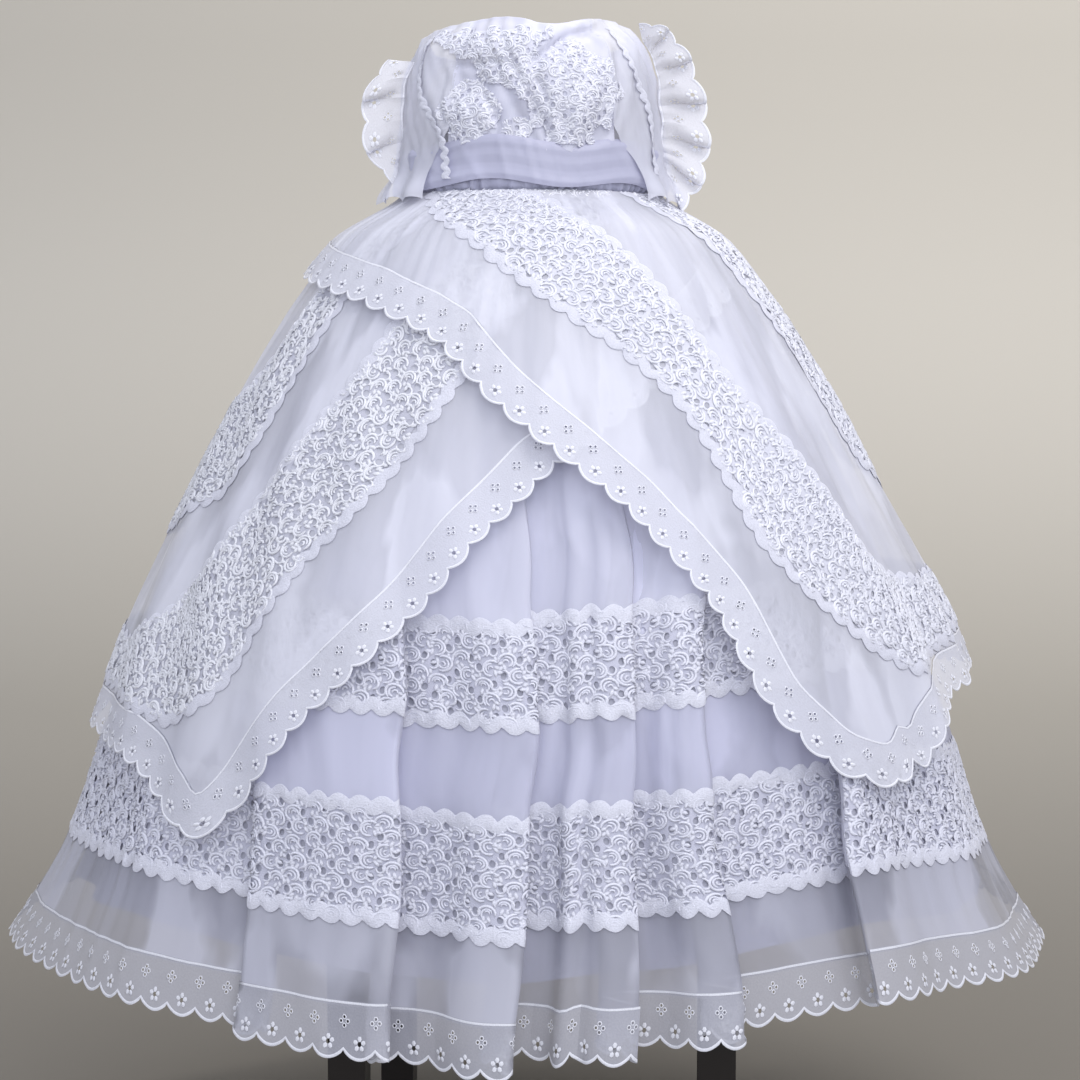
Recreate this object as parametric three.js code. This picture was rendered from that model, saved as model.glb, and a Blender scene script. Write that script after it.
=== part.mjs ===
// Candomble skirt: a tiered ceremonial skirt with a crossed overskirt of two panels and a gathered
// sash, standing on a plain limbless form on a four-legged stand.
// Millimetres, +Z up, front at -Y. The origin is on the floor, under the middle of the skirt.
// Left and right are as seen from the front, so right is +X.
//
// Every cloth piece is a thin wall on one surface of revolution made oval: a point is named by its
// angle round the skirt (0 at the front, +90 at the right side), its height as cut, and how far it
// lies outside the skirt's own face. The back repeats the front, mirrored about the side seams.

import * as THREE from 'three';

// ---------------------------------------------------------------- sizes

const WALL = 1.2;              // cloth with its gathers, as one wall
const SEAM = 0.3;              // clear gap between pieces that are sewn together
const DEPTH_RATIO = 0.86;      // front-to-back size over side-to-side size

const HEM = 283;               // tips of the scalloped hem above the floor
const EYELET_HEIGHT = 45;      // depth of the broderie border
const LOWER_LACE = { bottom: 397, top: 493 };
const UPPER_LACE = { bottom: 580, top: 666 };
const UPPER_TIER_ROWS = [868, 1004];
const WAIST = 1056;            // seam between the skirt and its waistband
const LINING_HEM = 350;
const LINING_TOP = 1030;
const LINING_INSET = { top: 2.1, hanging: 12 };   // how far inside the skirt's face

const RIC_RAC_HALF = 8;        // half the reach of the wavy braid
const MOST_SLANTED_HALF = 12;  // and half its height where it runs steeply
const RIC_RAC_RISE = 2.4;      // height of the braid's middle over its edges
const BRAID_CLEARANCE = 0.5;   // from the braid to the skirt
// The overskirt's braid lies over sharper corners of the faceted cloth, most of all near the waist.
const OVERSKIRT_BRAID_CLEARANCE = { low: 1.4, high: 3.6, from: 860, to: 990 };
const FOLD_HALF_ANGLE = 1.2;   // degrees from a fold's crest to its valley
const FOLD_GROWTH = 1.3;       // how late the folds open between waist and hem
const SHOULDER = 45;           // height over which the overskirt leaves the waist seam
const BRAID_TOP = 1020;        // the overskirt's braid stops short of the waist seam
const SMALLEST_HEIGHT = 2.5;   // a strip never tapers to nothing

const WAISTBAND = { bottom: WAIST + SEAM, top: 1078, outside: 5.2, segment: 12 };

const STAND = {
  yaw: 4,                      // degrees, as it stands under the skirt
  offsetX: 14,
  legSize: 38,
  legX: 187,
  legY: 190,
  boardTop: 660,
  boardThickness: 18,
  boardOverhang: 6,
  railHeight: 60,
  railThickness: 20,
};

// ---------------------------------------------------------------- short tables

const table = (columns, rows) =>
  rows.map((row) => Object.fromEntries(columns.map((name, i) => [name, row[i]])));

// The skirt's own outline, side to side.
const SKIRT_OUTLINE = table(['height', 'half'], [
  [250, 575],
  [283, 555],
  [328, 524],
  [375, 497],
  [427, 476],
  [518, 448],
  [613, 412],
  [723, 360],
  [841, 300],
  [934, 245],
  [1004, 194],
  [1056, 137],
]);

// Folds of the front half, from the left side to the right. reach is how far the cloth
// stands out at the hem and drop is how far it hangs down, each before and after the fold's edge.
const FOLDS = table(['angle', 'reachBefore', 'reachAfter', 'dropBefore', 'dropAfter'], [
  [-90, 0, 0, 5, 5],
  [-74, 8, 8, 3, 3],
  [-60, -7, -7, 2, 2],
  [-44, 8, 8, 0, 0],
  [-28, -6, 7, 10, 15],
  [-13, 13, -9, 18, 31],
  [-2, 12, -11, 33, 25],
  [9, 13, -13, 21, 17],
  [19, 8, -11, 12, 8],
  [34, -15, 15, 2, -12],
  [46, -5, -5, -3, -3],
  [58, 8, 8, 5, 5],
  [74, -6, -6, 15, 15],
  [90, 0, 0, 20, 20],
]);

// Columns of the overskirt's front half, closest where its edges turn.
const OVERSKIRT_ANGLES = [
  -90, -74, -60, -51, -44, -36, -28, -20, -13, -2, 9, 19, 25, 30, 35, 40, 46, 52, 58, 66, 71, 78,
  90,
];

// The overskirt's right panel (over) and left panel (under): the height as cut of each line,
// by angle. edge is the scalloped outer edge, border the eyelet's inner edge; the two lace bands
// lie between lower and upper lines.
const line = (rows) => table(['angle', 'height'], rows);

const WAIST_LINE = line([[-90, WAIST], [90, WAIST]]);

const OVER = {
  name: 'over_panel',
  lift: { waist: 4.6, right: 25, left: 27 },
  edge: line([
    [-90, 985], [-66, 969], [-51, 957], [-36, 946], [-20, 925], [-12, 897], [-2, 832],
    [9, 786], [19, 729], [24, 689], [28, 590], [34, 517], [40, 497], [50, 479], [54, 486],
    [60, 516], [68, 538], [90, 550],
  ]),
  border: line([
    [-90, 1015], [-66, 1000], [-51, 989], [-36, 975], [-20, 949], [-12, 929], [-2, 874],
    [9, 822], [19, 768], [26, 712], [30, 672], [34, 580], [40, 530], [46, 519], [52, 534],
    [60, 566], [68, 585], [90, 597],
  ]),
  organzaSpan: [-238, 58],
  bands: [
    {
      name: 'lace_long',
      span: [-44, 224],
      lower: line([
        [-51, 1056], [-44, 1053], [-36, 1040], [-20, 1014], [-13, 998], [-2, 964], [9, 926],
        [16, 903], [22, 873], [26, 849], [30, 803], [34, 710], [40, 662], [48, 612], [55, 582],
        [58, 577], [66, 592], [74, 599], [90, 604],
      ]),
      upper: line([
        [-3.2, 1056], [-2, 1053], [8, 1041], [14, 1022], [20, 1005], [28, 967], [34, 913],
        [40, 848], [46, 798], [52, 745], [55, 690], [62, 664], [74, 655], [90, 658],
      ]),
      upperSpan: [-2, 182],
    },
    {
      name: 'lace_short',
      span: [35, 145],
      lower: line([
        [34, 1056], [35, 1053], [40, 1034], [46, 1010], [52, 963], [58, 908], [66, 812],
        [74, 768], [90, 745],
      ]),
      upper: line([
        [57, 1056], [58, 1053], [66, 1028], [71, 1000], [78, 949], [90, 885],
      ]),
      upperSpan: [58, 122],
    },
  ],
};

const UNDER = {
  name: 'under_panel',
  lift: { waist: 2.3, right: 9, left: 16 },
  edge: line([
    [-90, 505], [-69, 497], [-57, 498], [-51, 486], [-44, 467], [-39, 447], [-36, 474],
    [-32, 520], [-28, 556], [-20, 616], [-13, 686], [-2, 762], [9, 806], [19, 846],
    [34, 905], [58, 962], [90, 985],
  ]),
  border: line([
    [-90, 548], [-66, 538], [-58, 534], [-51, 518], [-44, 491], [-41, 484], [-36, 530],
    [-32, 574], [-28, 606], [-20, 668], [-13, 735], [-2, 806], [9, 848], [19, 886],
    [34, 943], [58, 996], [90, 1016],
  ]),
  organzaSpan: [-51, 231],
  bands: [
    {
      name: 'lace_long',
      span: [-215, 35],
      lower: line([
        [-90, 556], [-66, 548], [-51, 530], [-45, 553], [-42, 574], [-38, 640], [-34, 689],
        [-30, 719], [-26, 751], [-20, 801], [-13, 873], [-6, 926], [3, 968], [19, 1014],
        [35, 1053], [36, 1056],
      ]),
      upper: line([
        [-90, 606], [-74, 590], [-66, 612], [-60, 628], [-51, 713], [-44, 778], [-36, 850],
        [-32, 886], [-28, 934], [-20, 978], [-13, 1014], [-2, 1053], [-1, 1056],
      ]),
      upperSpan: [-178, -2],
    },
    {
      name: 'lace_short',
      span: [-152, -28],
      lower: line([
        [-90, 700], [-74, 722], [-60, 750], [-55, 812], [-51, 905], [-44, 988], [-36, 1026],
        [-28, 1053], [-27, 1056],
      ]),
      upper: line([
        [-90, 815], [-82, 828], [-74, 850], [-66, 926], [-60, 990], [-44, 1053], [-43, 1056],
      ]),
      upperSpan: [-136, -44],
    },
  ],
};

// The sash: a puffed ring of lace and organza over the form, by height.
const SASH_OUTLINE = table(['height', 'half', 'depth'], [
  [1081, 121, 104],
  [1106, 134, 116],
  [1140, 140, 123],
  [1180, 133, 118],
  [1206, 118, 106],
  [1224, 101, 92],
]);
const SASH_BAND_TOP = 1108;    // seam between the plain band and the panels over it
const SASH_SEGMENT = 15;       // degrees, or near it
const SASH_SEAM_TURN = 0.15;   // degrees from a panel's side to the seam
// The braid on each lappet, down its outer side.
const SASH_BRAID = { from: 51, to: 60.15, bottom: 1112, top: 1204, rise: 2.2 };
const SASH_PANELS = table(['name', 'from', 'to', 'slot'], [
  ['sash_left_lappet', -84, -36, 'organza'],
  ['sash_lace_front', -36, 36, 'lace'],
  ['sash_right_lappet', 36, 84, 'organza'],
  ['sash_back', 84, 276, 'organza'],
]);

// The eyelet frills sewn to the outer edges of the two lappets: the height of the seam on the
// lappet, and where the scallops end as seen from the front.
const FRILLS = {
  right: {
    angle: 74,
    rows: table(['height', 'tipX', 'tipZ'], [
      [1214, 126, 1246],
      [1195, 157, 1214],
      [1172, 175, 1178],
      [1146, 183, 1142],
      [1118, 183, 1106],
      [1092, 174, 1068],
    ]),
  },
  left: {
    angle: -74,
    rows: table(['height', 'tipX', 'tipZ'], [
      [1200, -146, 1216],
      [1177, -164, 1185],
      [1150, -171, 1152],
      [1124, -168, 1116],
      [1098, -150, 1078],
    ]),
  },
};
const FRILL_FLUTE = 7;         // half the depth of a flute
const FRILL_STEPS = 3;         // half flutes between two rows of the table
const FRILL_SEAT = 0.6;        // from the frill's seam to the lappet's face

// Plain limbless form: a turned shape made oval, from the board to the top of the sash.
const FORM_OUTLINE = table(['height', 'half'], [
  [660.3, 128],
  [664, 134],
  [720, 158],
  [800, 168],
  [890, 161],
  [980, 143],
  [1040, 134.2],
  [1070, 134.2],
  [1079, 118.3],
  [1110, 117],
  [1160, 114],
  [1192, 100],
  [1196, 92],
]);
const FORM_SEGMENTS = 36;

// ---------------------------------------------------------------- materials

const finish = (color, roughness) => new THREE.MeshStandardMaterial({ color, roughness, metalness: 0 });

const MATERIALS = {
  organza: finish(0xdcdcee, 0.55),
  lace: finish(0xe6e6f2, 0.6),
  eyelet: finish(0xeeeef4, 0.65),
  ric_rac: finish(0xf0f0f6, 0.7),
  lining: finish(0xe2e2f0, 0.6),
  stand: finish(0x1d1716, 0.5),
  form: finish(0xd8d4cc, 0.8),
};

// ---------------------------------------------------------------- the cloth's surface

const radians = THREE.MathUtils.degToRad;

function interpolate(rows, key, at, value) {
  if (at <= rows[0][key]) return rows[0][value];
  for (let i = 1; i < rows.length; i += 1) {
    const low = rows[i - 1];
    const high = rows[i];
    if (at <= high[key]) {
      return THREE.MathUtils.mapLinear(at, low[key], high[key], low[value], high[value]);
    }
  }
  return rows[rows.length - 1][value];
}

// The matching angle on the front half, from -90 to 90.
function frontAngle(angle) {
  const turned = ((((angle + 180) % 360) + 360) % 360) - 180;
  if (turned > 90) return 180 - turned;
  if (turned < -90) return -180 - turned;
  return turned;
}

// Each fold has a crest column and a valley column, FOLD_HALF_ANGLE to each side of its edge.
const FOLD_COLUMNS = FOLDS.flatMap((fold) => {
  const before = { angle: fold.angle, reach: fold.reachBefore, drop: fold.dropBefore };
  const after = { angle: fold.angle, reach: fold.reachAfter, drop: fold.dropAfter };
  if (fold.reachBefore === fold.reachAfter) return [before];
  before.angle -= FOLD_HALF_ANGLE;
  after.angle += FOLD_HALF_ANGLE;
  return [before, after];
});

const SKIRT_ANGLES = FOLD_COLUMNS.map((column) => column.angle);

// 0 at the waist, 1 at the hem.
const growth = (height) => THREE.MathUtils.clamp((WAIST - height) / (WAIST - HEM), 0, 1);

function skirtPoint(angle, height, outside, foldShare = 1, dropShare = 1) {
  const front = frontAngle(angle);
  const down = growth(height);
  const reach = interpolate(FOLD_COLUMNS, 'angle', front, 'reach') * down ** FOLD_GROWTH;
  const drop = interpolate(FOLD_COLUMNS, 'angle', front, 'drop') * THREE.MathUtils.smoothstep(down, 0, 0.5);
  const half = interpolate(SKIRT_OUTLINE, 'height', height, 'half');
  const out = outside + reach * foldShare;
  return new THREE.Vector3(
    (half + out) * Math.sin(radians(angle)),
    -(half * DEPTH_RATIO + out) * Math.cos(radians(angle)),
    height - drop * dropShare,
  );
}

// The lining is caught to the skirt near the waist and hangs free inside it.
function liningPoint(angle, height, outside) {
  const free = THREE.MathUtils.smoothstep(LINING_TOP - height, 0, SHOULDER / 2);
  const inset = THREE.MathUtils.lerp(LINING_INSET.top, LINING_INSET.hanging, free);
  return skirtPoint(angle, height, outside - inset);
}

// The overskirt follows a third of the folds beneath it and doesn't drop with them.
const OVERSKIRT_FOLD_SHARE = 0.35;

function overskirtPoint(lift, angle, height, outside) {
  const leave = THREE.MathUtils.smoothstep(WAIST - height, 0, SHOULDER);
  const toLeft = THREE.MathUtils.smoothstep(-frontAngle(angle), -10, 30);
  const full = THREE.MathUtils.lerp(lift.right, lift.left, toLeft);
  const rise = THREE.MathUtils.lerp(lift.waist, full, leave);
  return skirtPoint(angle, height, rise + outside, OVERSKIRT_FOLD_SHARE, 0);
}

function sashPoint(angle, height, outside) {
  const half = interpolate(SASH_OUTLINE, 'height', height, 'half') + outside;
  const depth = interpolate(SASH_OUTLINE, 'height', height, 'depth') + outside;
  return new THREE.Vector3(half * Math.sin(radians(angle)), -depth * Math.cos(radians(angle)), height);
}

// ---------------------------------------------------------------- closed walls

// All the columns from one angle to another, given those of the front half.
function columnsBetween(frontAngles, from, to) {
  const all = [];
  for (let turn = -360; turn <= 360; turn += 360) {
    for (const angle of frontAngles) {
      all.push(turn + angle);
      if (Math.abs(angle) < 90) all.push(turn + 180 - angle);
    }
  }
  return all.filter((angle) => angle >= from && angle <= to).sort((a, b) => a - b);
}

const wholeRing = (frontAngles) => columnsBetween(frontAngles, -90, 270).slice(0, -1);

function evenColumns(from, to, step) {
  const count = Math.round((to - from) / step);
  return Array.from({ length: count + 1 }, (_, i) => THREE.MathUtils.lerp(from, to, i / count));
}

const evenRing = (step) => evenColumns(-90, 270, step).slice(0, -1);

// A closed body from loops of points, one loop for each column. Each loop goes up the wall's outer
// face and back down inside. A quad is split along its shorter diagonal, so both faces of a wall,
// and the braid that lies on it, bend the same way.
function loft(loops, closed) {
  const size = loops[0].length;
  const positions = loops.flatMap((loop) => loop.flatMap((point) => point.toArray()));
  const index = [];
  const ring = (i) => loops[i % loops.length];
  const last = closed ? loops.length : loops.length - 1;
  for (let i = 0; i < last; i += 1) {
    const here = i * size;
    const next = ((i + 1) % loops.length) * size;
    for (let j = 0; j < size; j += 1) {
      const k = (j + 1) % size;
      const risingDiagonal = ring(i)[j].distanceTo(ring(i + 1)[k]);
      const fallingDiagonal = ring(i)[k].distanceTo(ring(i + 1)[j]);
      if (risingDiagonal < fallingDiagonal) {
        index.push(here + j, next + j, next + k, here + j, next + k, here + k);
      } else {
        index.push(here + j, next + j, here + k, next + j, next + k, here + k);
      }
    }
  }
  if (!closed) {
    for (const [start, flip] of [[0, false], [(loops.length - 1) * size, true]]) {
      for (const triangle of capTriangles(size)) {
        const corners = triangle.map((corner) => start + corner);
        index.push(...(flip ? corners.reverse() : corners));
      }
    }
  }
  const geometry = new THREE.BufferGeometry();
  geometry.setAttribute('position', new THREE.Float32BufferAttribute(positions, 3));
  geometry.setIndex(index);
  geometry.computeVertexNormals();
  return geometry;
}

// A section is a ladder of outer points going up and inner points coming down.
function capTriangles(size) {
  const triangles = [];
  let low = 0;
  let high = size - 1;
  while (high - low > 1) {
    triangles.push([low, low + 1, high]);
    if (high - low > 2) triangles.push([low + 1, high - 1, high]);
    low += 1;
    high -= 1;
  }
  return triangles;
}

// A wall between two lines: heightsAt gives a column's row heights from the bottom up.
function wall(columns, closed, heightsAt, pointAt, outside = 0, thickness = WALL) {
  const loops = columns.map((angle) => {
    const heights = heightsAt(angle);
    const outer = heights.map((height) => pointAt(angle, height, outside));
    const inner = heights.map((height) => pointAt(angle, height, outside - thickness));
    return [...outer, ...inner.reverse()];
  });
  return loft(loops, closed);
}

// Braid: a low ridge lying on the two pieces that meet at a seam. rowsAt gives the height of the
// nearest row below the seam, of the seam, and of the nearest row above it.
function braid(columns, closed, rowsAt, halfAt, pointAt, clearanceAt) {
  const loops = columns.map((angle) => {
    const [below, seam, above] = rowsAt(angle);
    const half = halfAt(angle);
    const clearance = clearanceAt(seam);
    const base = (row) => {
      const share = Math.min(1, half / Math.abs(row - seam));
      return pointAt(angle, seam, clearance).lerp(pointAt(angle, row, clearance), share);
    };
    return [
      base(below),
      pointAt(angle, seam, clearance + RIC_RAC_RISE),
      base(above),
      pointAt(angle, seam, clearance),
    ];
  });
  return loft(loops, closed);
}

// ---------------------------------------------------------------- the object

const garment = new THREE.Group();

function add(name, geometry, slot) {
  const mesh = new THREE.Mesh(geometry, MATERIALS[slot]);
  mesh.name = name;
  garment.add(mesh);
  return mesh;
}

function addSkirt() {
  const ring = wholeRing(SKIRT_ANGLES);
  const between = (...heights) => () => heights;
  const tier = (name, heights, slot) =>
    add(name, wall(ring, true, between(...heights), skirtPoint), slot);
  const seamed = (bottom, top, ...middle) => [bottom + SEAM / 2, ...middle, top - SEAM / 2];
  const eyeletTop = HEM + EYELET_HEIGHT;

  add('waistband', wall(
    evenRing(WAISTBAND.segment), true, between(WAISTBAND.bottom, WAISTBAND.top),
    (angle, height, outside) => skirtPoint(angle, WAIST, outside).setZ(height),
    WAISTBAND.outside, WAISTBAND.outside + WALL,
  ), 'organza');
  tier('upper_tier', seamed(UPPER_LACE.top, WAIST, ...UPPER_TIER_ROWS), 'organza');
  tier('upper_lace', seamed(UPPER_LACE.bottom, UPPER_LACE.top), 'lace');
  tier('middle_tier', seamed(LOWER_LACE.top, UPPER_LACE.bottom), 'organza');
  tier('lower_lace', seamed(LOWER_LACE.bottom, LOWER_LACE.top), 'lace');
  tier('hem_tier', seamed(eyeletTop, LOWER_LACE.bottom), 'organza');
  tier('hem_eyelet', seamed(HEM, eyeletTop), 'eyelet');

  const seams = {
    lower_lace_bottom_ric_rac: [eyeletTop, LOWER_LACE.bottom, LOWER_LACE.top],
    lower_lace_top_ric_rac: [LOWER_LACE.bottom, LOWER_LACE.top, UPPER_LACE.bottom],
    upper_lace_bottom_ric_rac: [LOWER_LACE.top, UPPER_LACE.bottom, UPPER_LACE.top],
    upper_lace_top_ric_rac: [UPPER_LACE.bottom, UPPER_LACE.top, UPPER_TIER_ROWS[0]],
  };
  for (const [name, rows] of Object.entries(seams)) {
    const shape = braid(
      ring, true, () => rows, () => RIC_RAC_HALF, skirtPoint, () => BRAID_CLEARANCE,
    );
    add(name, shape, 'ric_rac');
  }
  const liningRows = between(LINING_HEM, UPPER_LACE.top, LINING_TOP);
  add('lining', wall(ring, true, liningRows, liningPoint), 'lining');
}

// How much taller a braid stands where its line runs down steeply.
function slantedHalf(heightAt, angle) {
  const step = 1;
  const rise = (heightAt(angle + step) - heightAt(angle - step)) / (2 * step);
  const half = interpolate(SKIRT_OUTLINE, 'height', heightAt(angle), 'half');
  return Math.min(MOST_SLANTED_HALF, RIC_RAC_HALF * Math.hypot(1, rise / (radians(1) * half)));
}

// Evenly spaced heights from a strip's lower edge to its upper one.
const evenRows = (bottom, top, count) =>
  Array.from({ length: count + 1 }, (_, i) => THREE.MathUtils.lerp(bottom, top, i / count));

function overskirtClearance(height) {
  const { low, high, from, to } = OVERSKIRT_BRAID_CLEARANCE;
  return THREE.MathUtils.lerp(low, high, THREE.MathUtils.smoothstep(height, from, to));
}

function addOverskirtPanel(panel) {
  const pointAt = (angle, height, outside) => overskirtPoint(panel.lift, angle, height, outside);
  const columns = (span) => columnsBetween(OVERSKIRT_ANGLES, ...span);
  const heightOf = (rows) => (angle) => interpolate(rows, 'angle', frontAngle(angle), 'height');
  const [long, short] = panel.bands;
  const strips = table(['name', 'span', 'lower', 'upper', 'rows', 'slot'], [
    ['organza_low', panel.organzaSpan, panel.border, long.lower, 2, 'organza'],
    [long.name, long.span, long.lower, long.upper, 2, 'lace'],
    ['organza_middle', long.upperSpan, long.upper, short.lower, 3, 'organza'],
    [short.name, short.span, short.lower, short.upper, 4, 'lace'],
    ['organza_top', short.upperSpan, short.upper, WAIST_LINE, 3, 'organza'],
  ]);
  const edgeAt = heightOf(panel.edge);
  const borderAt = heightOf(panel.border);
  const edgeRows = (angle) => [edgeAt(angle), borderAt(angle) - SEAM / 2];
  const ring = wholeRing(OVERSKIRT_ANGLES);
  add(`${panel.name}_eyelet`, wall(ring, true, edgeRows, pointAt), 'eyelet');
  const rowsOf = (strip) => (angle) => {
    const top = heightOf(strip.upper)(angle) - SEAM / 2;
    const bottom = Math.min(heightOf(strip.lower)(angle) + SEAM / 2, top - SMALLEST_HEIGHT + SEAM);
    return evenRows(bottom, top, strip.rows);
  };
  for (const strip of strips) {
    const shape = wall(columns(strip.span), false, rowsOf(strip), pointAt);
    add(`${panel.name}_${strip.name}`, shape, strip.slot);
  }
  for (let i = 0; i + 1 < strips.length; i += 1) {
    const under = strips[i];
    const over = strips[i + 1];
    const seamAt = heightOf(over.lower);
    const rowsAt = (angle) => [rowsOf(under)(angle).at(-2), seamAt(angle), rowsOf(over)(angle)[1]];
    const halfAt = (angle) => slantedHalf(seamAt, angle);
    const covered = columns(over.span).filter((angle) => seamAt(angle) < BRAID_TOP);
    const shape = braid(covered, false, rowsAt, halfAt, pointAt, overskirtClearance);
    add(`${panel.name}_seam_${i + 1}_ric_rac`, shape, 'ric_rac');
  }
}

function frillShape({ angle, rows }) {
  const stations = (rows.length - 1) * FRILL_STEPS + 1;
  const ordered = angle > 0 ? rows : [...rows].reverse();
  const indexed = ordered.map((row, i) => ({ ...row, at: i * FRILL_STEPS }));
  const halfWall = new THREE.Vector3(0, WALL / 2, 0);
  const loops = [];
  for (let i = 0; i < stations; i += 1) {
    const value = (name) => interpolate(indexed, 'at', i, name);
    const root = sashPoint(angle, value('height'), FRILL_SEAT);
    const flute = (i % 2 ? 1 : -1) * FRILL_FLUTE;
    const tip = new THREE.Vector3(value('tipX'), root.y + flute, value('tipZ'));
    loops.push([
      root.clone().sub(halfWall),
      tip.clone().sub(halfWall),
      tip.clone().add(halfWall),
      root.clone().add(halfWall),
    ]);
  }
  return loft(loops, false);
}

function addSash() {
  const bottom = SASH_OUTLINE[0].height;
  const top = SASH_OUTLINE[SASH_OUTLINE.length - 1].height;
  const swell = SASH_OUTLINE.slice(2, -1).map((row) => row.height);
  const bandRows = () => [bottom, SASH_BAND_TOP - SEAM];
  add('sash_band', wall(evenRing(SASH_SEGMENT), true, bandRows, sashPoint), 'organza');
  for (const panel of SASH_PANELS) {
    const columns = evenColumns(panel.from + SASH_SEAM_TURN, panel.to - SASH_SEAM_TURN, SASH_SEGMENT);
    const rows = () => [SASH_BAND_TOP, ...swell, top];
    add(panel.name, wall(columns, false, rows, sashPoint), panel.slot);
  }
  for (const [side, frill] of Object.entries(FRILLS)) {
    add(`sash_${side}_frill`, frillShape(frill), 'eyelet');
  }
  const { from, to, rise } = SASH_BRAID;
  for (const [side, columns] of Object.entries({ left: [-to, -from], right: [from, to] })) {
    const rows = () => [SASH_BRAID.bottom, ...swell.slice(0, -1), SASH_BRAID.top];
    add(`sash_${side}_ric_rac`, wall(columns, false, rows, sashPoint, SEAM + rise, rise), 'ric_rac');
  }
}

function addStand() {
  const stand = new THREE.Group();
  stand.rotation.z = radians(-STAND.yaw);
  stand.position.x = STAND.offsetX;
  garment.add(stand);
  const place = (name, size, x, y, z) => {
    const mesh = new THREE.Mesh(new THREE.BoxGeometry(...size), MATERIALS.stand);
    mesh.name = name;
    mesh.position.set(x, y, z);
    stand.add(mesh);
  };
  const { legSize, legX, legY, boardTop, boardThickness, boardOverhang, railHeight, railThickness } = STAND;
  const legTop = boardTop - boardThickness - SEAM;
  const sides = { left: -1, right: 1 };
  const ends = { front: -1, back: 1 };
  for (const [end, alongY] of Object.entries(ends)) {
    for (const [side, alongX] of Object.entries(sides)) {
      const size = [legSize, legSize, legTop];
      place(`stand_leg_${end}_${side}`, size, alongX * legX, alongY * legY, legTop / 2);
    }
  }
  const railZ = legTop - railHeight / 2;
  const railLength = (reach) => 2 * reach - legSize - 2 * SEAM;
  for (const [end, alongY] of Object.entries(ends)) {
    place(`stand_rail_${end}`, [railLength(legX), railThickness, railHeight], 0, alongY * legY, railZ);
  }
  for (const [side, alongX] of Object.entries(sides)) {
    place(`stand_rail_${side}`, [railThickness, railLength(legY), railHeight], alongX * legX, 0, railZ);
  }
  const boardX = 2 * legX + legSize + 2 * boardOverhang;
  const boardY = 2 * legY + legSize + 2 * boardOverhang;
  place('stand_board', [boardX, boardY, boardThickness], 0, 0, boardTop - boardThickness / 2);
}

function addForm() {
  const base = FORM_OUTLINE[0].height;
  const top = FORM_OUTLINE[FORM_OUTLINE.length - 1].height;
  const profile = [
    new THREE.Vector2(0, base),
    ...FORM_OUTLINE.map((row) => new THREE.Vector2(row.half, row.height)),
    new THREE.Vector2(0, top),
  ];
  const form = add('form', new THREE.LatheGeometry(profile, FORM_SEGMENTS), 'form');
  form.rotation.x = Math.PI / 2;
  form.scale.set(1, 1, DEPTH_RATIO);
}

addSkirt();
addOverskirtPanel(UNDER);
addOverskirtPanel(OVER);
addSash();
addStand();
addForm();

export default garment;
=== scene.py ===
# Candomble skirt with a crossed overskirt and a gathered sash, on a plain form and stand.
#
# The tables and the surface functions are in millimetres and degrees; make_piece turns them into
# metres. Left and right are as seen from the front, so right is +X and the front is -Y.
import math

import bpy
import numpy as np
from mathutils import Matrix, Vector
from mathutils.geometry import delaunay_2d_cdt


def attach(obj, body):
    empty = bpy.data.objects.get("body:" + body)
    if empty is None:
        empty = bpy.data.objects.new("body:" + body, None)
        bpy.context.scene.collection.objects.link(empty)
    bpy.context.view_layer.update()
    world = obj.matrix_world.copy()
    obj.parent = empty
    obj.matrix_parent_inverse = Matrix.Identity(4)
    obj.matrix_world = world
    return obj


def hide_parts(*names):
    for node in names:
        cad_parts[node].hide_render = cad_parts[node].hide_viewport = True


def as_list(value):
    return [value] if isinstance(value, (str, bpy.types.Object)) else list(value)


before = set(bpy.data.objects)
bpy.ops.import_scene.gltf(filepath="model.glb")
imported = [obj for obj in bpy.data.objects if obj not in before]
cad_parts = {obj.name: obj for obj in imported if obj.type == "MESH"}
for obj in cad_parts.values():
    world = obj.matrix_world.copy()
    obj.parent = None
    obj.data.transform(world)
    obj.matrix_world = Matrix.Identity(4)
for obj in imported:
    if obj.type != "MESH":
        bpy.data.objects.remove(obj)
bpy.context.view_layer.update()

# ---------------------------------------------------------------- sizes

MM = 0.001
TURN = 2 * np.pi
DEPTH_RATIO = 0.86             # front-to-back size over side-to-side size
HEM = 283
EYELET_HEIGHT = 45
EYELET_SEAM = 4                # how far the hem's organza reaches under its eyelet
LOWER_LACE = (397, 493)
UPPER_LACE = (580, 666)
WAIST = 1056
LINING = (340, 1030)
LINING_INSET = (8, 34)         # how far inside the skirt's outline, at the waist and at the hem
SHOULDER = 45                  # height over which the overskirt leaves the waist seam
FOLD_GROWTH = 1.3              # how late the folds open between waist and hem
FOLD_OPEN = (0.08, 0.60)       # where a fold's layers part and have fully parted, 0 waist, 1 hem
FOLD_OVERLAP = 2.7             # degrees that a fold's layers reach past each other
FOLD_LOOP = 9                  # gap inside a fold's turn
FOLD_DEEPER = 1.45             # how much deeper the folds are than the table says
OVERSKIRT_FOLD_SHARE = 0.35    # how much of the skirt's folds the overskirt follows
HANG_POWER, HANG_MOST = 1.2, 1.7       # how far the front's folds hang straight down

# The skirt's own outline, side to side: height, half width.
SKIRT_OUTLINE = [
    (250, 575), (283, 555), (328, 524), (375, 497), (427, 476), (518, 448), (613, 412), (723, 360),
    (841, 300), (934, 245), (1004, 194), (1056, 137),
]

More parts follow.
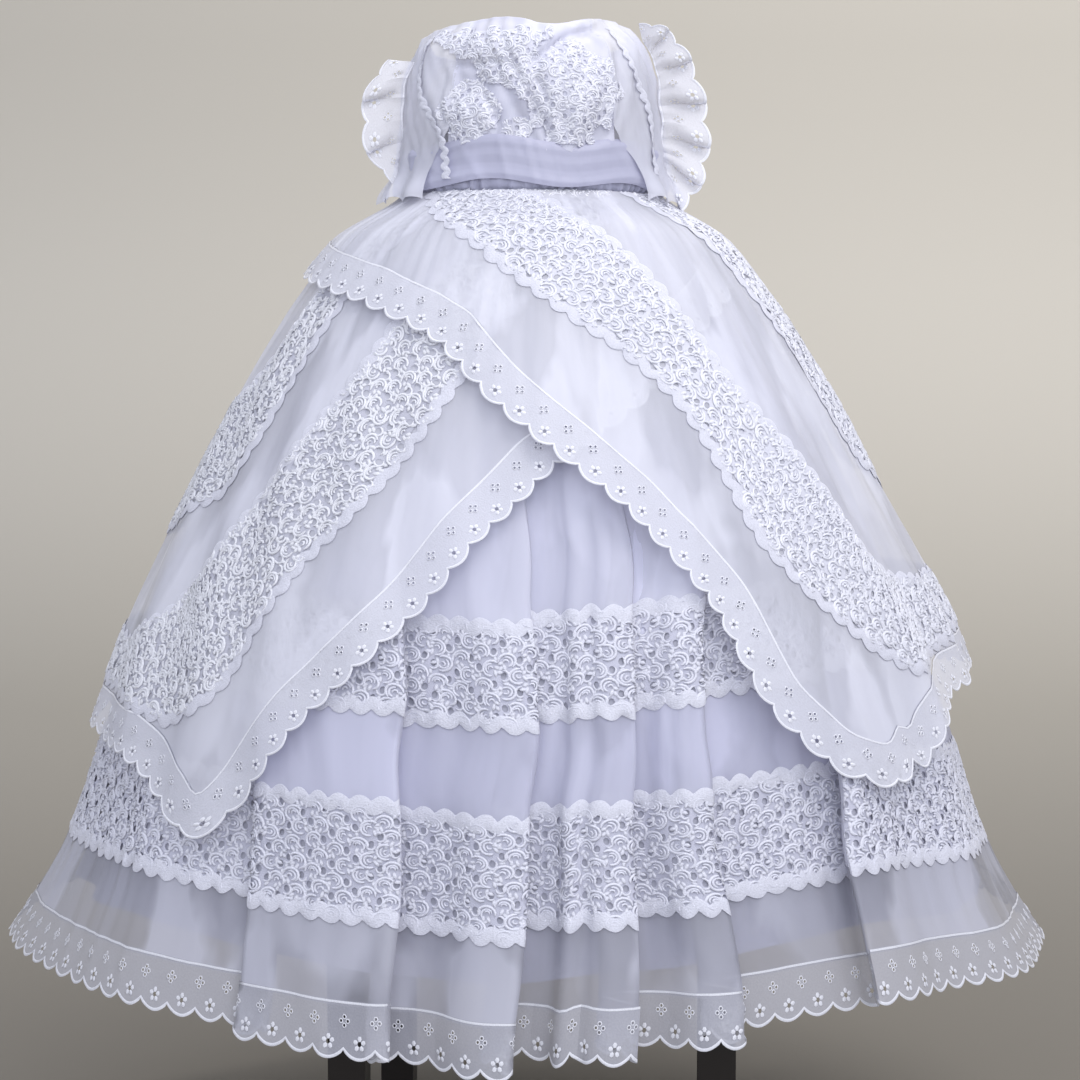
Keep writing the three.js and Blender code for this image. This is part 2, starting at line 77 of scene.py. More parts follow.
# Folds of the front half, from left to right: the angle, how far the cloth stands out at the hem
# before and after the fold's edge, and how far it hangs down before and after.
FOLDS = [
    (-90, 0, 0, 5, 5),
    (-74, 8, 8, 3, 3),
    (-60, -7, -7, 2, 2),
    (-44, 8, 8, 0, 0),
    (-28, -6, 7, 10, 15),
    (-13, 13, -13, 18, 31),
    (-2, 13, -18, 33, 26),
    (2.5, 6, 6, 25, 25),
    (4.5, -2, -2, 19, 19),
    (9, 13, -18, 20, 17),
    (19, 9, -15, 12, 8),
    (34, -15, 15, 2, -12),
    (46, -5, -5, -3, -3),
    (58, 8, 8, 5, 5),
    (74, -6, -6, 15, 15),
    (90, 0, 0, 20, 20),
]

# How many degrees a fold has gone aside well above the hem, by its angle.
FOLD_LEANS = [
    (-90, 0), (-30, 0), (-13, 1.2), (-2, 3), (9, 0), (19, -4.5), (34, -2), (50, 0), (90, 0),
]

# ---------------------------------------------------------------- curves


def smoothstep(value, low, high):
    t = np.clip((value - low) / (high - low), 0, 1)
    return t * t * (3 - 2 * t)


def bell(reach, width):
    """The weights of an average over whole steps from -reach to reach."""
    weights = np.exp(-0.5 * (np.arange(-reach, reach + 1) / width) ** 2)
    return weights / weights.sum()


def softened(rows, width, period=None):
    """A smooth function through a short table of (place, value): straight lines, averaged over width."""
    xs, ys = np.array(rows, float).T
    first, last = xs[0], xs[0] + period if period else xs[-1]
    margin, step, reach = 4 * width, width / 5, 15
    grid = np.arange(first - margin, last + margin, step)
    values = np.interp(grid, xs, ys, period=period)
    if not period:
        before, after = grid < first, grid > last
        values[before] = 2 * ys[0] - np.interp(2 * first - grid[before], xs, ys)
        values[after] = 2 * ys[-1] - np.interp(2 * last - grid[after], xs, ys)
    smooth = np.convolve(np.pad(values, reach, mode="edge"), bell(reach, 2.5), mode="valid")
    if period:
        return lambda x: np.interp((np.asarray(x, float) - first) % period + first, grid, smooth)
    return lambda x: np.interp(x, grid, smooth)


def waves(counts, size, seed):
    """An uneven ripple round a closed ring, place 0 to 1, with a mean square of size squared."""
    rng = np.random.default_rng(seed)
    counts = np.array(counts)
    sizes = rng.uniform(0.4, 1, len(counts))
    sizes *= size * math.sqrt(2) / np.sqrt((sizes ** 2).sum())
    phases = rng.uniform(0, TURN, len(counts))
    grid = np.linspace(0, 1, 8192)
    values = sum(s * np.sin(TURN * c * grid + p) for c, s, p in zip(counts, sizes, phases))
    return lambda x: np.interp(np.asarray(x, float) % 1, grid, values)


def creases(counts, steeps, size, seed):
    """Narrow slanting ridges over a closed ring, by place and height, that come and go."""
    rng = np.random.default_rng(seed)
    rows = [
        (count, rng.uniform(*steeps) * rng.choice([-1, 1]), *rng.uniform(0, TURN, 3),
         rng.integers(2, 7), rng.uniform(0.4, 1))
        for count in counts
    ]

    def field(place, height):
        total = 0
        for count, steep, phase, phase2, phase3, mask, share in rows:
            ridge = 1 - np.abs(np.sin(np.pi * count * place + height / steep + phase))
            near = 0.5 + 0.5 * np.sin(TURN * mask * place + phase2) * np.sin(height / 61 + phase3)
            total = total + size * share * (ridge ** 3 - 0.2) * near
        return total

    return field


def front_angle(angle):
    """The matching angle on the front half, from -90 to 90."""
    turned = (np.asarray(angle, float) + 180) % 360 - 180
    return np.where(turned > 90, 180 - turned, np.where(turned < -90, -180 - turned, turned))


def mirrored(rows, start):
    """The rows of the front half with those of the back half, in order, from an angle of start."""
    back = [(180 - a, value) for a, value in rows if abs(a) != 90]
    if start == -270:
        back = [(a - 360, value) for a, value in back]
    return sorted(rows + back)


def around(angle, half, depth, height):
    """Points on ovals round the middle, by angle, half width, half depth and height."""
    angle = np.radians(angle)
    return np.stack(np.broadcast_arrays(half * np.sin(angle), -depth * np.cos(angle), height), axis=-1)


def ring_angles(columns):
    """The angle of each column of a closed ring, from the back."""
    return 180 + np.arange(columns)[:, None] * 360 / columns


def walked(points):
    """How far along a run of points each one is."""
    return np.concatenate([[0], np.cumsum(np.linalg.norm(np.diff(points, axis=0), axis=1))])


# ---------------------------------------------------------------- the skirt's surface

outline = softened(SKIRT_OUTLINE, 26)
sway = waves(range(7, 24, 2), 1.8, 1)
wander = waves(range(3, 12), 0.2, 5)  # degrees that a fold strays to the side
skirt_creases = creases((31, 38, 47, 53, 64, 71), (70, 240), 2.1, 6)
hem_drop = softened(mirrored([(a, (before + after) / 2) for a, _, _, before, after in FOLDS], -90), 12, 360)

# The gathers under each seam, and the depth over which they fade.
GATHERS = {
    WAIST: (waves(range(52, 104, 3), 1.5, 2), 150),
    UPPER_LACE[0]: (waves(range(70, 150, 5), 1.1, 3), 55),
    LOWER_LACE[0]: (waves(range(80, 170, 5), 0.9, 4), 45),
}


def growth(height):
    """0 at the waist, 1 at the hem."""
    return np.clip((WAIST - height) / (WAIST - HEM), 0, 1)


def fold_rows(angle, before, after, drop_before, drop_after):
    """(angle, reach, angle at the waist, drop) of the points that the cloth passes at a fold."""
    before, after = FOLD_DEEPER * before, FOLD_DEEPER * after
    if before == after:
        return [(angle, before, angle, drop_before)]
    bend, left, right = FOLD_LOOP, 0.25 * FOLD_OVERLAP, 0.25 * FOLD_OVERLAP
    if before > after:
        right = FOLD_OVERLAP
    else:
        bend, left = -bend, FOLD_OVERLAP
    first, second, span = angle + left, angle - right, 1.3 * FOLD_OVERLAP
    turns = [
        (angle - span, before), (first, before), (first, before - bend),
        (second, after + bend), (second, after), (angle + span, after),
    ]
    roots = np.linspace(angle - span, angle + span, len(turns))
    drops = [drop_before] * 3 + [drop_after] * 3
    return [(a, reach, root, drop) for (a, reach), root, drop in zip(turns, roots, drops)]


def cut_corners(rows):
    """One round of corner cutting on a closed run of rows, whose angles grow by 360 a turn."""
    after = np.roll(rows, -1, axis=0)
    after[-1, [0, 2]] += 360
    both = np.stack([0.75 * rows + 0.25 * after, 0.25 * rows + 0.75 * after], axis=1)
    return both.reshape(-1, rows.shape[1])


def cloth_path():
    """The skirt's cloth round its hem, folds and all: each point's place, 0 to 1, and row; its length."""
    front = [row for fold in FOLDS for row in fold_rows(*fold)]
    back = [(180 - a, reach, 180 - root, drop) for a, reach, root, drop in front[-2:0:-1]]
    rows = np.array(front + back, float)
    for _ in range(4):
        rows = cut_corners(rows)
    rows = np.vstack([rows, rows[0] + [360, 0, 360, 0]])
    turn = np.radians(rows[:, 0]) * outline(HEM) * (1 + DEPTH_RATIO) / 2
    along = walked(np.column_stack([turn, rows[:, 1]]))
    return along / along[-1], rows.T, along[-1]


PLACES, PATH, HEM_LENGTH = cloth_path()


def path_at(place):
    """The row of the cloth's path at a place; its two angles grow by 360 for each turn."""
    turned = np.floor(place)
    angle, reach, root, drop = (np.interp(place - turned, PLACES, column) for column in PATH)
    return angle + 360 * turned, reach, root + 360 * turned, drop


def gathered(place, height):
    """How far the gathers under each seam push the cloth out."""
    total = 0
    for seam, (ripple, fade) in GATHERS.items():
        below = np.clip(seam - height, 0, None)
        total = total + smoothstep(below, 0, 12) * np.exp(-below / fade) * ripple(place)
    return total


def hang(angle, height):
    """Where a fold is at a height: the front's folds hang straight down, not toward the waist."""
    front = front_angle(angle)
    spread = np.minimum((outline(HEM) / outline(height)) ** HANG_POWER, HANG_MOST) - 1
    moved = spread * front * (1 - (front / 90) ** 2) ** 2
    moved = moved + np.interp(front, *np.array(FOLD_LEANS, float).T) * smoothstep(height, HEM, 600)
    behind = np.abs((np.asarray(angle) + 180) % 360 - 180) > 90
    return angle + np.where(behind, -moved, moved)


def skirt(place, height, out=0.0):
    """Points of the skirt: place 0 to 1 along the cloth, height as cut, out from its face."""
    down = growth(height)
    parted = smoothstep(down, *FOLD_OPEN)
    folded, reach, root, drop = path_at(np.asarray(place, float))
    stray = wander(root / 360 + 0.0011 * height) * parted
    angle = hang(root + (folded - root) * parted + stray, height)
    reach = reach * down ** FOLD_GROWTH + sway(place) * down + gathered(place, height) + out
    reach = reach + skirt_creases(place, height) * smoothstep(down, 0.05, 0.3)
    half = outline(height)
    return around(angle, half + reach, half * DEPTH_RATIO + reach, height - drop * smoothstep(down, 0, 0.5))


# ---------------------------------------------------------------- the overskirt's surface

# Each line is a run of (angle, height) over the front half, and the back half mirrors it. A lace
# band's lines meet the waist at one end, and run on past it there.
OVER = {
    "name": "over_panel",
    "threads": "over_lace",
    "lift": (4.6, 27, 25),     # at the waist, on the left, on the right
    "flare": 16,               # how far the right side swings out
    "start": -90,
    "drift": waves(range(5, 27, 2), 3.0, 11),
    "puckers": waves(range(50, 110, 4), 0.9, 13),
    "creases": creases((17, 23, 29, 34, 41), (90, 330), 2.4, 15),
    "border": [
        (-90, 1015), (-66, 1000), (-51, 989), (-36, 975), (-20, 949), (-12, 929), (-2, 874), (9, 822),
        (19, 768), (26, 712), (30, 672), (34, 580), (40, 530), (44, 519), (47, 514), (49.5, 534),
        (51.5, 521), (54, 540), (60, 566), (68, 585), (90, 597),
    ],
    "long": {
        "lower": [
            (-44, 1053), (-36, 1040), (-20, 1014), (-13, 998), (-2, 964), (9, 926), (16, 903), (22, 873),
            (26, 849), (30, 803), (34, 710), (40, 662), (48, 612), (55, 582), (58, 577), (66, 592),
            (74, 599), (90, 604),
        ],
        "upper": [
            (-2, 1053), (8, 1041), (14, 1022), (20, 1005), (28, 967), (34, 913), (40, 848), (46, 798),
            (52, 745), (55, 690), (62, 664), (74, 655), (90, 658),
        ],
    },
    "short": {
        "lower": [(44, 1053), (50, 1034), (56, 1009), (61, 963), (65, 908), (71, 820), (77, 775), (90, 745)],
        "upper": [(63, 1053), (70, 1028), (74, 998), (78, 930), (81, 872), (84, 834), (87, 818), (90, 814)],
    },
}
UNDER = {
    "name": "under_panel",
    "threads": "under_lace",
    "lift": (2.3, 16, 9),
    "flare": 0,
    "start": -270,
    "drift": waves(range(6, 29, 2), 2.2, 12),
    "puckers": waves(range(50, 110, 4), 0.6, 14),
    "creases": creases((16, 21, 27, 33, 39), (-330, -90), 1.6, 16),
    "border": [
        (-90, 548), (-66, 538), (-58, 534), (-51, 516), (-44, 483), (-41.5, 466), (-39, 490), (-36, 530),
        (-32, 574), (-28, 606), (-20, 668), (-13, 735), (-2, 806), (9, 848), (19, 886), (34, 943),
        (58, 996), (90, 1016),
    ],
    "long": {
        "lower": [
            (-90, 556), (-66, 548), (-51, 530), (-45, 553), (-42, 574), (-38, 640), (-34, 689), (-30, 719),
            (-26, 751), (-20, 801), (-13, 873), (-6, 926), (3, 968), (19, 1014), (35, 1053),
        ],
        "upper": [
            (-90, 606), (-74, 590), (-66, 612), (-60, 628), (-51, 713), (-44, 778), (-36, 850), (-32, 886),
            (-28, 934), (-20, 978), (-13, 1014), (-2, 1053),
        ],
    },
    "short": {
        "lower": [
            (-90, 700), (-74, 722), (-60, 750), (-55, 812), (-51, 905), (-44, 988), (-36, 1026), (-28, 1053),
        ],
        "upper": [(-90, 812), (-80, 828), (-71, 850), (-63.5, 926), (-57, 990), (-43, 1053)],
    },
}
LINE_SOFTNESS, BORDER_SOFTNESS = 2.4, 1.7      # degrees
PAST_WAIST = 30                # degrees that an open line runs on past the waist


def open_line(rows, start):
    """A line that ends at the waist on the front and on the back."""
    rows = list(rows)
    if start == -90:
        (a, h), (a2, h2) = rows[0], rows[1]
        rows.insert(0, (a - PAST_WAIST, h + PAST_WAIST * (h - h2) / (a2 - a)))
    else:
        (a2, h2), (a, h) = rows[-2], rows[-1]
        rows.append((a + PAST_WAIST, h + PAST_WAIST * (h - h2) / (a - a2)))
    return softened(mirrored(rows, start), LINE_SOFTNESS)


def soft_reach():
    """The skirt's folds as the overskirt feels them, evened out, by angle."""
    rows = []
    for angle, before, after, _, _ in FOLDS:
        rows += [(angle, before)] if before == after else [(angle - 2, before), (angle + 2, after)]
    return softened(mirrored(rows, -90), 14, 360)


fold_feel = soft_reach()


def overskirt(panel):
    """The surface of one panel of the overskirt: angle, height, out from its face."""
    waist, left, right = panel["lift"]

    def surface(angle, height, out=0.0):
        down, below, front = growth(height), WAIST - height, front_angle(angle)
        turn = np.asarray(angle) / 360
        full = right + (left - right) * smoothstep(-front, -10, 30)
        swing = np.exp(-((front - 90) / 17) ** 2) * (front > 0) * smoothstep(780 - height, 0, 220)
        reach = waist + (full - waist) * smoothstep(below, 0, SHOULDER) + panel["flare"] * swing + out
        reach = reach + OVERSKIRT_FOLD_SHARE * fold_feel(angle) * down ** FOLD_GROWTH
        reach = reach + panel["drift"](turn + 0.00012 * height) * smoothstep(down, 0.05, 0.4)
        reach = reach + panel["puckers"](turn) * np.exp(-below / 120) * smoothstep(down, 0, 0.03)
        reach = reach + panel["creases"](turn, height) * smoothstep(down, 0.02, 0.2)
        half = outline(height)
        return around(angle, half + reach, half * DEPTH_RATIO + reach, height)

    return surface


# ---------------------------------------------------------------- bands along a line

RING_PLACES = np.linspace(0, 1, 3000)


def ladder(surface, line, span, depth):
    """Measured ground beside a line of a surface.

    Gives the line's length, and a function from a distance along it and one away from it, up the
    surface where positive, to an angle and a height.
    """
    step, rung = 3.0, math.copysign(5.0, depth)
    angle = np.linspace(*span, 4000)
    along = walked(surface(angle, line(angle)))
    count, rungs = int(along[-1] / step), int(depth / rung) + 2
    a = np.interp(np.linspace(0, along[-1], count), along, angle)
    h = line(a)
    slope = np.gradient(h) / np.gradient(a)

    def units(a, h):
        across = np.linalg.norm(surface(a + 0.05, h) - surface(a - 0.05, h), axis=-1) / 0.1
        up = np.linalg.norm(surface(a, h + 0.5) - surface(a, h - 0.5), axis=-1)
        return across, up

    across, up = units(a, h)
    away = np.stack([-slope * up, across])
    away /= np.linalg.norm(away, axis=0)
    width = max(1, int(abs(depth) * 0.4 / step))
    reach = 3 * width
    ends = np.pad(away, ((0, 0), (reach, reach)), mode="edge")
    away = np.array([np.convolve(row, bell(reach, width), mode="valid") for row in ends])
    away *= rung / np.linalg.norm(away, axis=0)
    spots = [(a, h)]
    for _ in range(rungs - 1):
        across, up = units(a, h)
        a, h = a + away[0] / across, h + away[1] / up
        spots.append((a, h))
    spots = np.array(spots).transpose(1, 0, 2)

    def ground(s, t):
        s = np.clip(np.asarray(s) / along[-1] * (count - 1), 0, count - 1.001)
        t = np.clip(np.asarray(t) / rung, 0, rungs - 1.001)
        i, j = s.astype(int), t.astype(int)
        u, v = s - i, t - j
        near = spots[:, j, i] * (1 - u) + spots[:, j, i + 1] * u
        far = spots[:, j + 1, i] * (1 - u) + spots[:, j + 1, i + 1] * u
        return near * (1 - v) + far * v

    return along[-1], ground


def on_ladder(surface, ground, lift=0.0, base=0.0):
    """Places on a ladder: the points at distances along and away, and the angle and height of each."""
    def place(s, t, out):
        angle, height = ground(s, t - base)
        return surface(angle, height, out + lift), angle, height
    return place


def across_line(surface, ground):
    """As on_ladder, for a trim centred on the line: distances from 0 to 20 stand for -10 to 10."""
    half = 10.0

    def place(s, t, out):
        (angle, height), (angle_up, height_up) = ground(s, 0 * s), ground(s, 0 * s + half)
        share = t / half - 1
        angle, height = angle + (angle_up - angle) * share, height + (height_up - height) * share
        return surface(angle, height, out), angle, height
    return place


def ring_walk(height):
    """How far round the cloth each of RING_PLACES is, at a height."""
    return walked(skirt(RING_PLACES, height))


def on_ring(base, stretch=1.0, middle=None, lift=0.0):
    """The length of a level line round the skirt's cloth, measured at a middle, and places on it."""
    walk = ring_walk(middle or base)
    length = walk[-1]

    def place(s, t, out):
        turns = np.floor(s / length)
        where = turns + np.interp(s - turns * length, walk, RING_PLACES)
        height = base + t * stretch
        return skirt(where, height, out + lift), where, height

    return length, place


# ---------------------------------------------------------------- meshes and pieces


def make_piece(name, points, faces, cloth, uv, node):
    """A piece that stands for a node, from points in millimetres and an array of triangles or quads.

    A third column of uv is how far a point stands out from the cloth below it.
    """
    mesh = bpy.data.meshes.new(name)
    points = np.asarray(points, float).reshape(-1, 3) * MM
    used, index = np.unique(np.asarray(faces, np.int32), return_inverse=True)
    corners, sides = index.astype(np.int32).ravel(), faces.shape[1]
    mesh.vertices.add(len(used))
    mesh.vertices.foreach_set("co", points[used].astype(np.float32).ravel())
    mesh.loops.add(faces.size)
    mesh.loops.foreach_set("vertex_index", corners)
    mesh.polygons.add(len(faces))
    mesh.polygons.foreach_set("loop_start", np.arange(len(faces), dtype=np.int32) * sides)
    uv = np.asarray(uv, float).reshape(len(points), -1)[used]
    layer = mesh.uv_layers.new(name="UVMap")
    layer.data.foreach_set("uv", (uv[corners, :2] * MM).astype(np.float32).ravel())
    if uv.shape[1] == 3:
        relief = mesh.attributes.new("relief", "FLOAT", "POINT")
        relief.data.foreach_set("value", uv[:, 2].astype(np.float32))
    mesh.update(calc_edges=True)
    mesh.validate()
    mesh.polygons.foreach_set("use_smooth", np.full(len(mesh.polygons), True))
    mesh.materials.append(MATERIALS[cloth])
    piece = bpy.data.objects.new(name, mesh)
    bpy.context.scene.collection.objects.link(piece)
    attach(piece, "root")
    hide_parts(node)
    return piece


def area_of(points, faces):
    """The area of a mesh, in the square of its points' unit."""
    corners = np.asarray(points).reshape(-1, 3)[faces]
    sides = corners[:, 1:] - corners[:, :1]
    return np.linalg.norm(np.cross(sides[:, :-1], sides[:, 1:]), axis=-1).sum() / 2


def flat_area(piece):
    """The area of a tiled piece's own flat pattern, without its holes, scallops and cut-away ends."""
    corners = np.empty(2 * len(piece.data.loops), np.float32)
    piece.data.uv_layers[0].data.foreach_get("uv", corners)
    corners = np.pad(corners.astype(float).reshape(-1, 2), ((0, 0), (0, 1)))
    return area_of(corners, np.arange(len(corners)).reshape(-1, 3))


def grid_faces(columns, rows, closed):
    """Quads of a grid of points stored column by column, rows points to a column."""
    last = columns if closed else columns - 1
    here = np.arange(last)[:, None] * rows + np.arange(rows - 1)
    after = (np.arange(1, last + 1) % columns)[:, None] * rows + np.arange(rows - 1)
    return np.stack([here, after, after + 1, here + 1], axis=-1).reshape(-1, 4)


def grid_uv(along, away):
    """Flat places of a grid of points, in millimetres along and away."""
    return np.stack(np.broadcast_arrays(along, away), axis=-1)


def grid_size(points, closed=False):
    """How far a grid of points goes along and away over the cloth, on average."""
    looped = np.vstack([points, points[:1]]) if closed else points
    along = np.linalg.norm(np.diff(looped, axis=0), axis=-1).sum(axis=0)
    away = np.linalg.norm(np.diff(points, axis=1), axis=-1).sum(axis=1)
    return along.mean(), away.mean()


def tiled(place, tiles, length, pitch, seed=1, jitter=0.0, keep=None, base=0.0, stagger=0.0):
    """Copies of a tile laid along a line, every other one moved away by stagger.

    tiles is a list of (points, faces) in the tile's own flat frame: along, away and out. keep says
    which faces stay, from the angle or place and the height of their middles. Gives the points, the
    faces and the flat places.
    """
    count = max(2, 2 * round(length / pitch / 2))
    scale = length / count
    rng = np.random.default_rng(seed)
    picks = rng.integers(0, len(tiles), count)
    shifts = rng.uniform(-jitter, jitter, (count, 2))
    sizes = rng.uniform(1 - jitter * 0.06, 1 + jitter * 0.06, count)
    laid, first = [], 0
    for pick, (points, faces) in enumerate(tiles):
        i = np.nonzero(picks == pick)[0]
        if not len(i):
            continue
        s = (i[:, None] + 0.5) * scale + (points[:, 0] - pitch / 2) * scale / pitch * sizes[i][:, None]
        t = base + (i % 2)[:, None] * stagger + points[:, 1] * np.ones_like(s)
        s, t = s + shifts[i, :1], t + shifts[i, 1:]
        out = points[:, 2] * np.ones_like(s)
        shown, where, height = place(s, t, out)
        these = faces[None] + (np.arange(len(i)) * len(points))[:, None, None]
        these = these.reshape(-1, faces.shape[1])
        if keep is not None:
            these = these[keep(*(np.asarray(v).ravel()[these].mean(axis=1) for v in (where, height)))]
        flat = np.stack([s, t, out], axis=-1)
        laid.append((shown.reshape(-1, 3), these + first, flat.reshape(-1, 3)))
        first += s.size
    return [np.vstack(part) for part in zip(*laid)]


def joined(parts):
    """Meshes as one: points, faces and whatever else each has for its points."""
    starts = np.cumsum([0] + [len(points) for points, *_ in parts])
    faces = np.vstack([part[1] + start for part, start in zip(parts, starts)])
    points, *more = (np.vstack([part[i] for part in parts]) for i in range(len(parts[0])) if i != 1)
    return points, faces, *more


# ---------------------------------------------------------------- tiles


def cut_sheet(border, holes, inner):
    """Triangles of a flat outline with holes, through the inner points."""
    loops = [border, *holes]
    points = [Vector(p) for loop in loops for p in loop] + [Vector(p) for p in inner]
    edges, first = [], 0
    for loop in loops:
        edges += [(first + i, first + (i + 1) % len(loop)) for i in range(len(loop))]
        first += len(loop)
    found = delaunay_2d_cdt(points, edges, [list(range(len(border)))], 1, 1e-5)
    where = np.array([tuple(p) for p in found[0]])
    faces = np.array([list(f) for f in found[2] if len(f) == 3])
    middle = where[faces].mean(axis=1)
    keep = np.ones(len(faces), bool)
    for hole in map(np.array, holes):
        centre = hole.mean(axis=0)
        keep &= (((middle - centre) / np.abs(hole - centre).max(axis=0)) ** 2).sum(axis=1) > 0.9
    faces = faces[keep]
    (ax, ay), (bx, by), (cx, cy) = where[faces].transpose(1, 2, 0)
    turned = (bx - ax) * (cy - ay) < (by - ay) * (cx - ax)
    faces[turned] = faces[turned][:, ::-1]
    return np.pad(where, ((0, 0), (0, 1))), faces


def oval(x, y, half_width, half_height, angles, turn=0.0):
    """Points of an oval, a row each; angles in degrees, or how many points go round it."""
    if isinstance(angles, int):
        angles = np.linspace(0, 360, angles, endpoint=False)
    u, v = half_width * np.cos(np.radians(angles)), half_height * np.sin(np.radians(angles))
    c, s = math.cos(turn), math.sin(turn)
    return np.column_stack([x + u * c - v * s, y + u * s + v * c])


def ribbon(path, widths, crest, closed=False):
    """A domed cord along a flat path of (x, y): three points across it."""
    path = np.asarray(path, float)
    ahead = np.roll(path, -1, axis=0) - np.roll(path, 1, axis=0)
    if not closed:
        ahead[0], ahead[-1] = path[1] - path[0], path[-1] - path[-2]
    side = np.stack([-ahead[:, 1], ahead[:, 0]], axis=-1)
    side *= np.broadcast_to(widths, len(path))[:, None] / 2 / np.linalg.norm(side, axis=-1, keepdims=True)
    low, crest = (np.full(len(path), height, float) for height in (0.25, crest))
    rows = [(path + side, low), (path, crest), (path - side, low)]
    points = np.stack([np.column_stack([p, z]) for p, z in rows], axis=1).reshape(-1, 3)
    return points, grid_faces(len(path), 3, closed)


LACE_CELL = (24.0, 15.5)
LACE_JITTER = 1.1
NET_SHARE = 0.91               # how much of the net is left between its holes
LACE_HOLE = (19.6, 7.75, 2.9, 3.7)     # x, y, half width, half height
LACE_HEART = (7.9, 7.75)
LACE_SCROLLS = [               # start in degrees, seed
    (-60, 5), (-110, 6), (15, 7), (-30, 8), (75, 9), (-85, 10), (-10, 11),
]


def lace_ground(turn):
    """One cell of the lace's net, with its oval hole."""
    wide, high = LACE_CELL
    quarters, halves = np.arange(4) / 4, np.arange(2) / 2
    border = [(wide * i, 0) for i in quarters] + [(wide, high * i) for i in halves]
    border += [(wide * (1 - i), high) for i in quarters] + [(0, high * (1 - i)) for i in halves]
    return cut_sheet(border, [oval(*LACE_HOLE, 8, turn)], [(8, 7.75)])


def leaf(x, y, long, wide, turn, crest, sides=5):
    """A small raised leaf."""
    ring = oval(x, y, long, wide, sides, turn)
    points = np.vstack([[[x, y, crest]], np.column_stack([ring, np.full(sides, 0.1)])])
    i = np.arange(sides)
    return points, np.stack([0 * i, 1 + i, 1 + (i + 1) % sides], axis=-1)


def arc(x, y, half_width, half_height, start, sweep, steps, width, crest, tilt=0.0):
    """A raised cord along part of an oval, thin at both ends; angles in degrees."""
    angles = np.linspace(start, start + sweep, steps + 1)
    path = oval(x, y, half_width, half_height, angles, math.radians(tilt))
    i = np.arange(steps + 1)
    ends = np.minimum(1, 0.45 + np.minimum(i, steps - i))
    points, quads = ribbon(path, width * ends, crest)
    return points, np.vstack([quads[:, :3], quads[:, [0, 2, 3]]])


def lace_scroll(start, seed):
    """A fan of the lace, one curl inside another, and the cord round the hole beside it."""
    rng = np.random.default_rng(seed)
    x, y, half_width, half_height = LACE_HOLE
    mouth = math.radians(start + 290)
    cx, cy = LACE_HEART[0] + 1.6 * math.cos(mouth), LACE_HEART[1] + 1.6 * math.sin(mouth)

    def about(value, most):
        return value + rng.uniform(-most, most)

    parts = [
        arc(cx, cy, 8.8, 7.2, start, about(215, 20), 9, 2.9, 2.1, about(0, 25)),
        arc(about(cx, 0.5), about(cy, 0.5), 5.6, 4.6,
            start + about(10, 20), about(190, 30), 7, 2.5, 1.7, about(0, 35)),
        arc(about(cx, 0.8), about(cy, 0.5), 2.5, 2.1, about(start, 50), 200, 4, 2.2, 2.0),
        arc(x, y, half_width + 1.6, half_height + 1.6,
            about(150, 60), about(210, 30), 7, 2.3, 1.6, about(0, 20)),
    ]
    for reach, side in ((6.3, 0.35), (6.0, -0.55), (9.0, 0.0)):
        at = (cx + reach * math.cos(mouth + side), cy + reach * math.sin(mouth + side))
        parts.append(leaf(*at, about(3.8, 0.6), 2.1, about(mouth + side, 0.8), about(2.0, 0.5)))
    parts.append(leaf(about(x, 2.5), 0.4, 3.8, 2.0, about(0, 1.5), 1.8))
    return joined(parts)


def flipped(tile):
    """A lace tile mirrored side to side, with its faces still facing out."""
    points, faces = tile
    return points * [-1, 1, 1] + [LACE_CELL[0], 0, 0], faces[:, ::-1]


EYELET_PITCH = 30.0
TIP, CUSP = 7.5, 22.5          # where a scallop is lowest and highest
FLOWER = (TIP, 13.0)
CLUSTER = oval(CUSP, 29.5, 3.3, 3.3, 4)        # the middles of four small holes


def scallop(x):
    """The height of the eyelet's lower edge."""
    return 7.5 * (1 - np.abs(np.cos(np.pi * (np.asarray(x) - TIP) / EYELET_PITCH)) ** 0.8)


def eyelet_cloth():
    wide, high = EYELET_PITCH, EYELET_HEIGHT
    sides = [12, 19, 26, 33, 39, high]
    border = [(x, float(scallop(x))) for x in np.linspace(0, wide, 13)]
    border += [(wide, y) for y in sides]
    border += [(wide * (1 - i / 4), high) for i in range(1, 4)]
    border += [(0, y) for y in sides[::-1]]
    holes = [oval(*FLOWER, 1.8, 2.2, 8)] + [oval(*spot, 1.25, 1.25, 6) for spot in CLUSTER]
    inner = [(15, 8), (15, 20), (7, 24), (7, 33), (15, 36), (15, 28), (23, 38), (24, 16), (1.5, 19)]
    return cut_sheet(border, holes, inner)


def eyelet_stitching():
    """The raised work on the eyelet: its corded edge, flowers, ringed holes and top seam."""
    xs = np.linspace(0, EYELET_PITCH, 13)
    parts = [ribbon(np.column_stack([xs, scallop(xs) + 1.2]), 2.5, 1.2)]
    reach = np.array([1.9, 4.0, 5.9])[:, None]
    for turn in np.radians([18, 90, 162, 234, 306]):
        petal = FLOWER + reach * [math.cos(turn), math.sin(turn)]
        parts.append(ribbon(petal, [1.8, 3.9, 2.0], [0.8, 1.3, 0.6]))
    for spot in CLUSTER:
        parts.append(ribbon(oval(*spot, 1.75, 1.75, 6), 1.1, 0.9, True))
    top = [(EYELET_PITCH * i / 4, EYELET_HEIGHT - 1.4) for i in range(5)]
    parts.append(ribbon(top, 1.8, 0.45))
    return joined(parts)


RIC_RAC_PITCH = 22.0
RIC_RAC_HALF = 8.6
RIC_RAC_WAVES = [(6.6, 0.0), (5.4, 0.8), (7.2, -0.6), (6.0, 0.4)]      # dip, droop


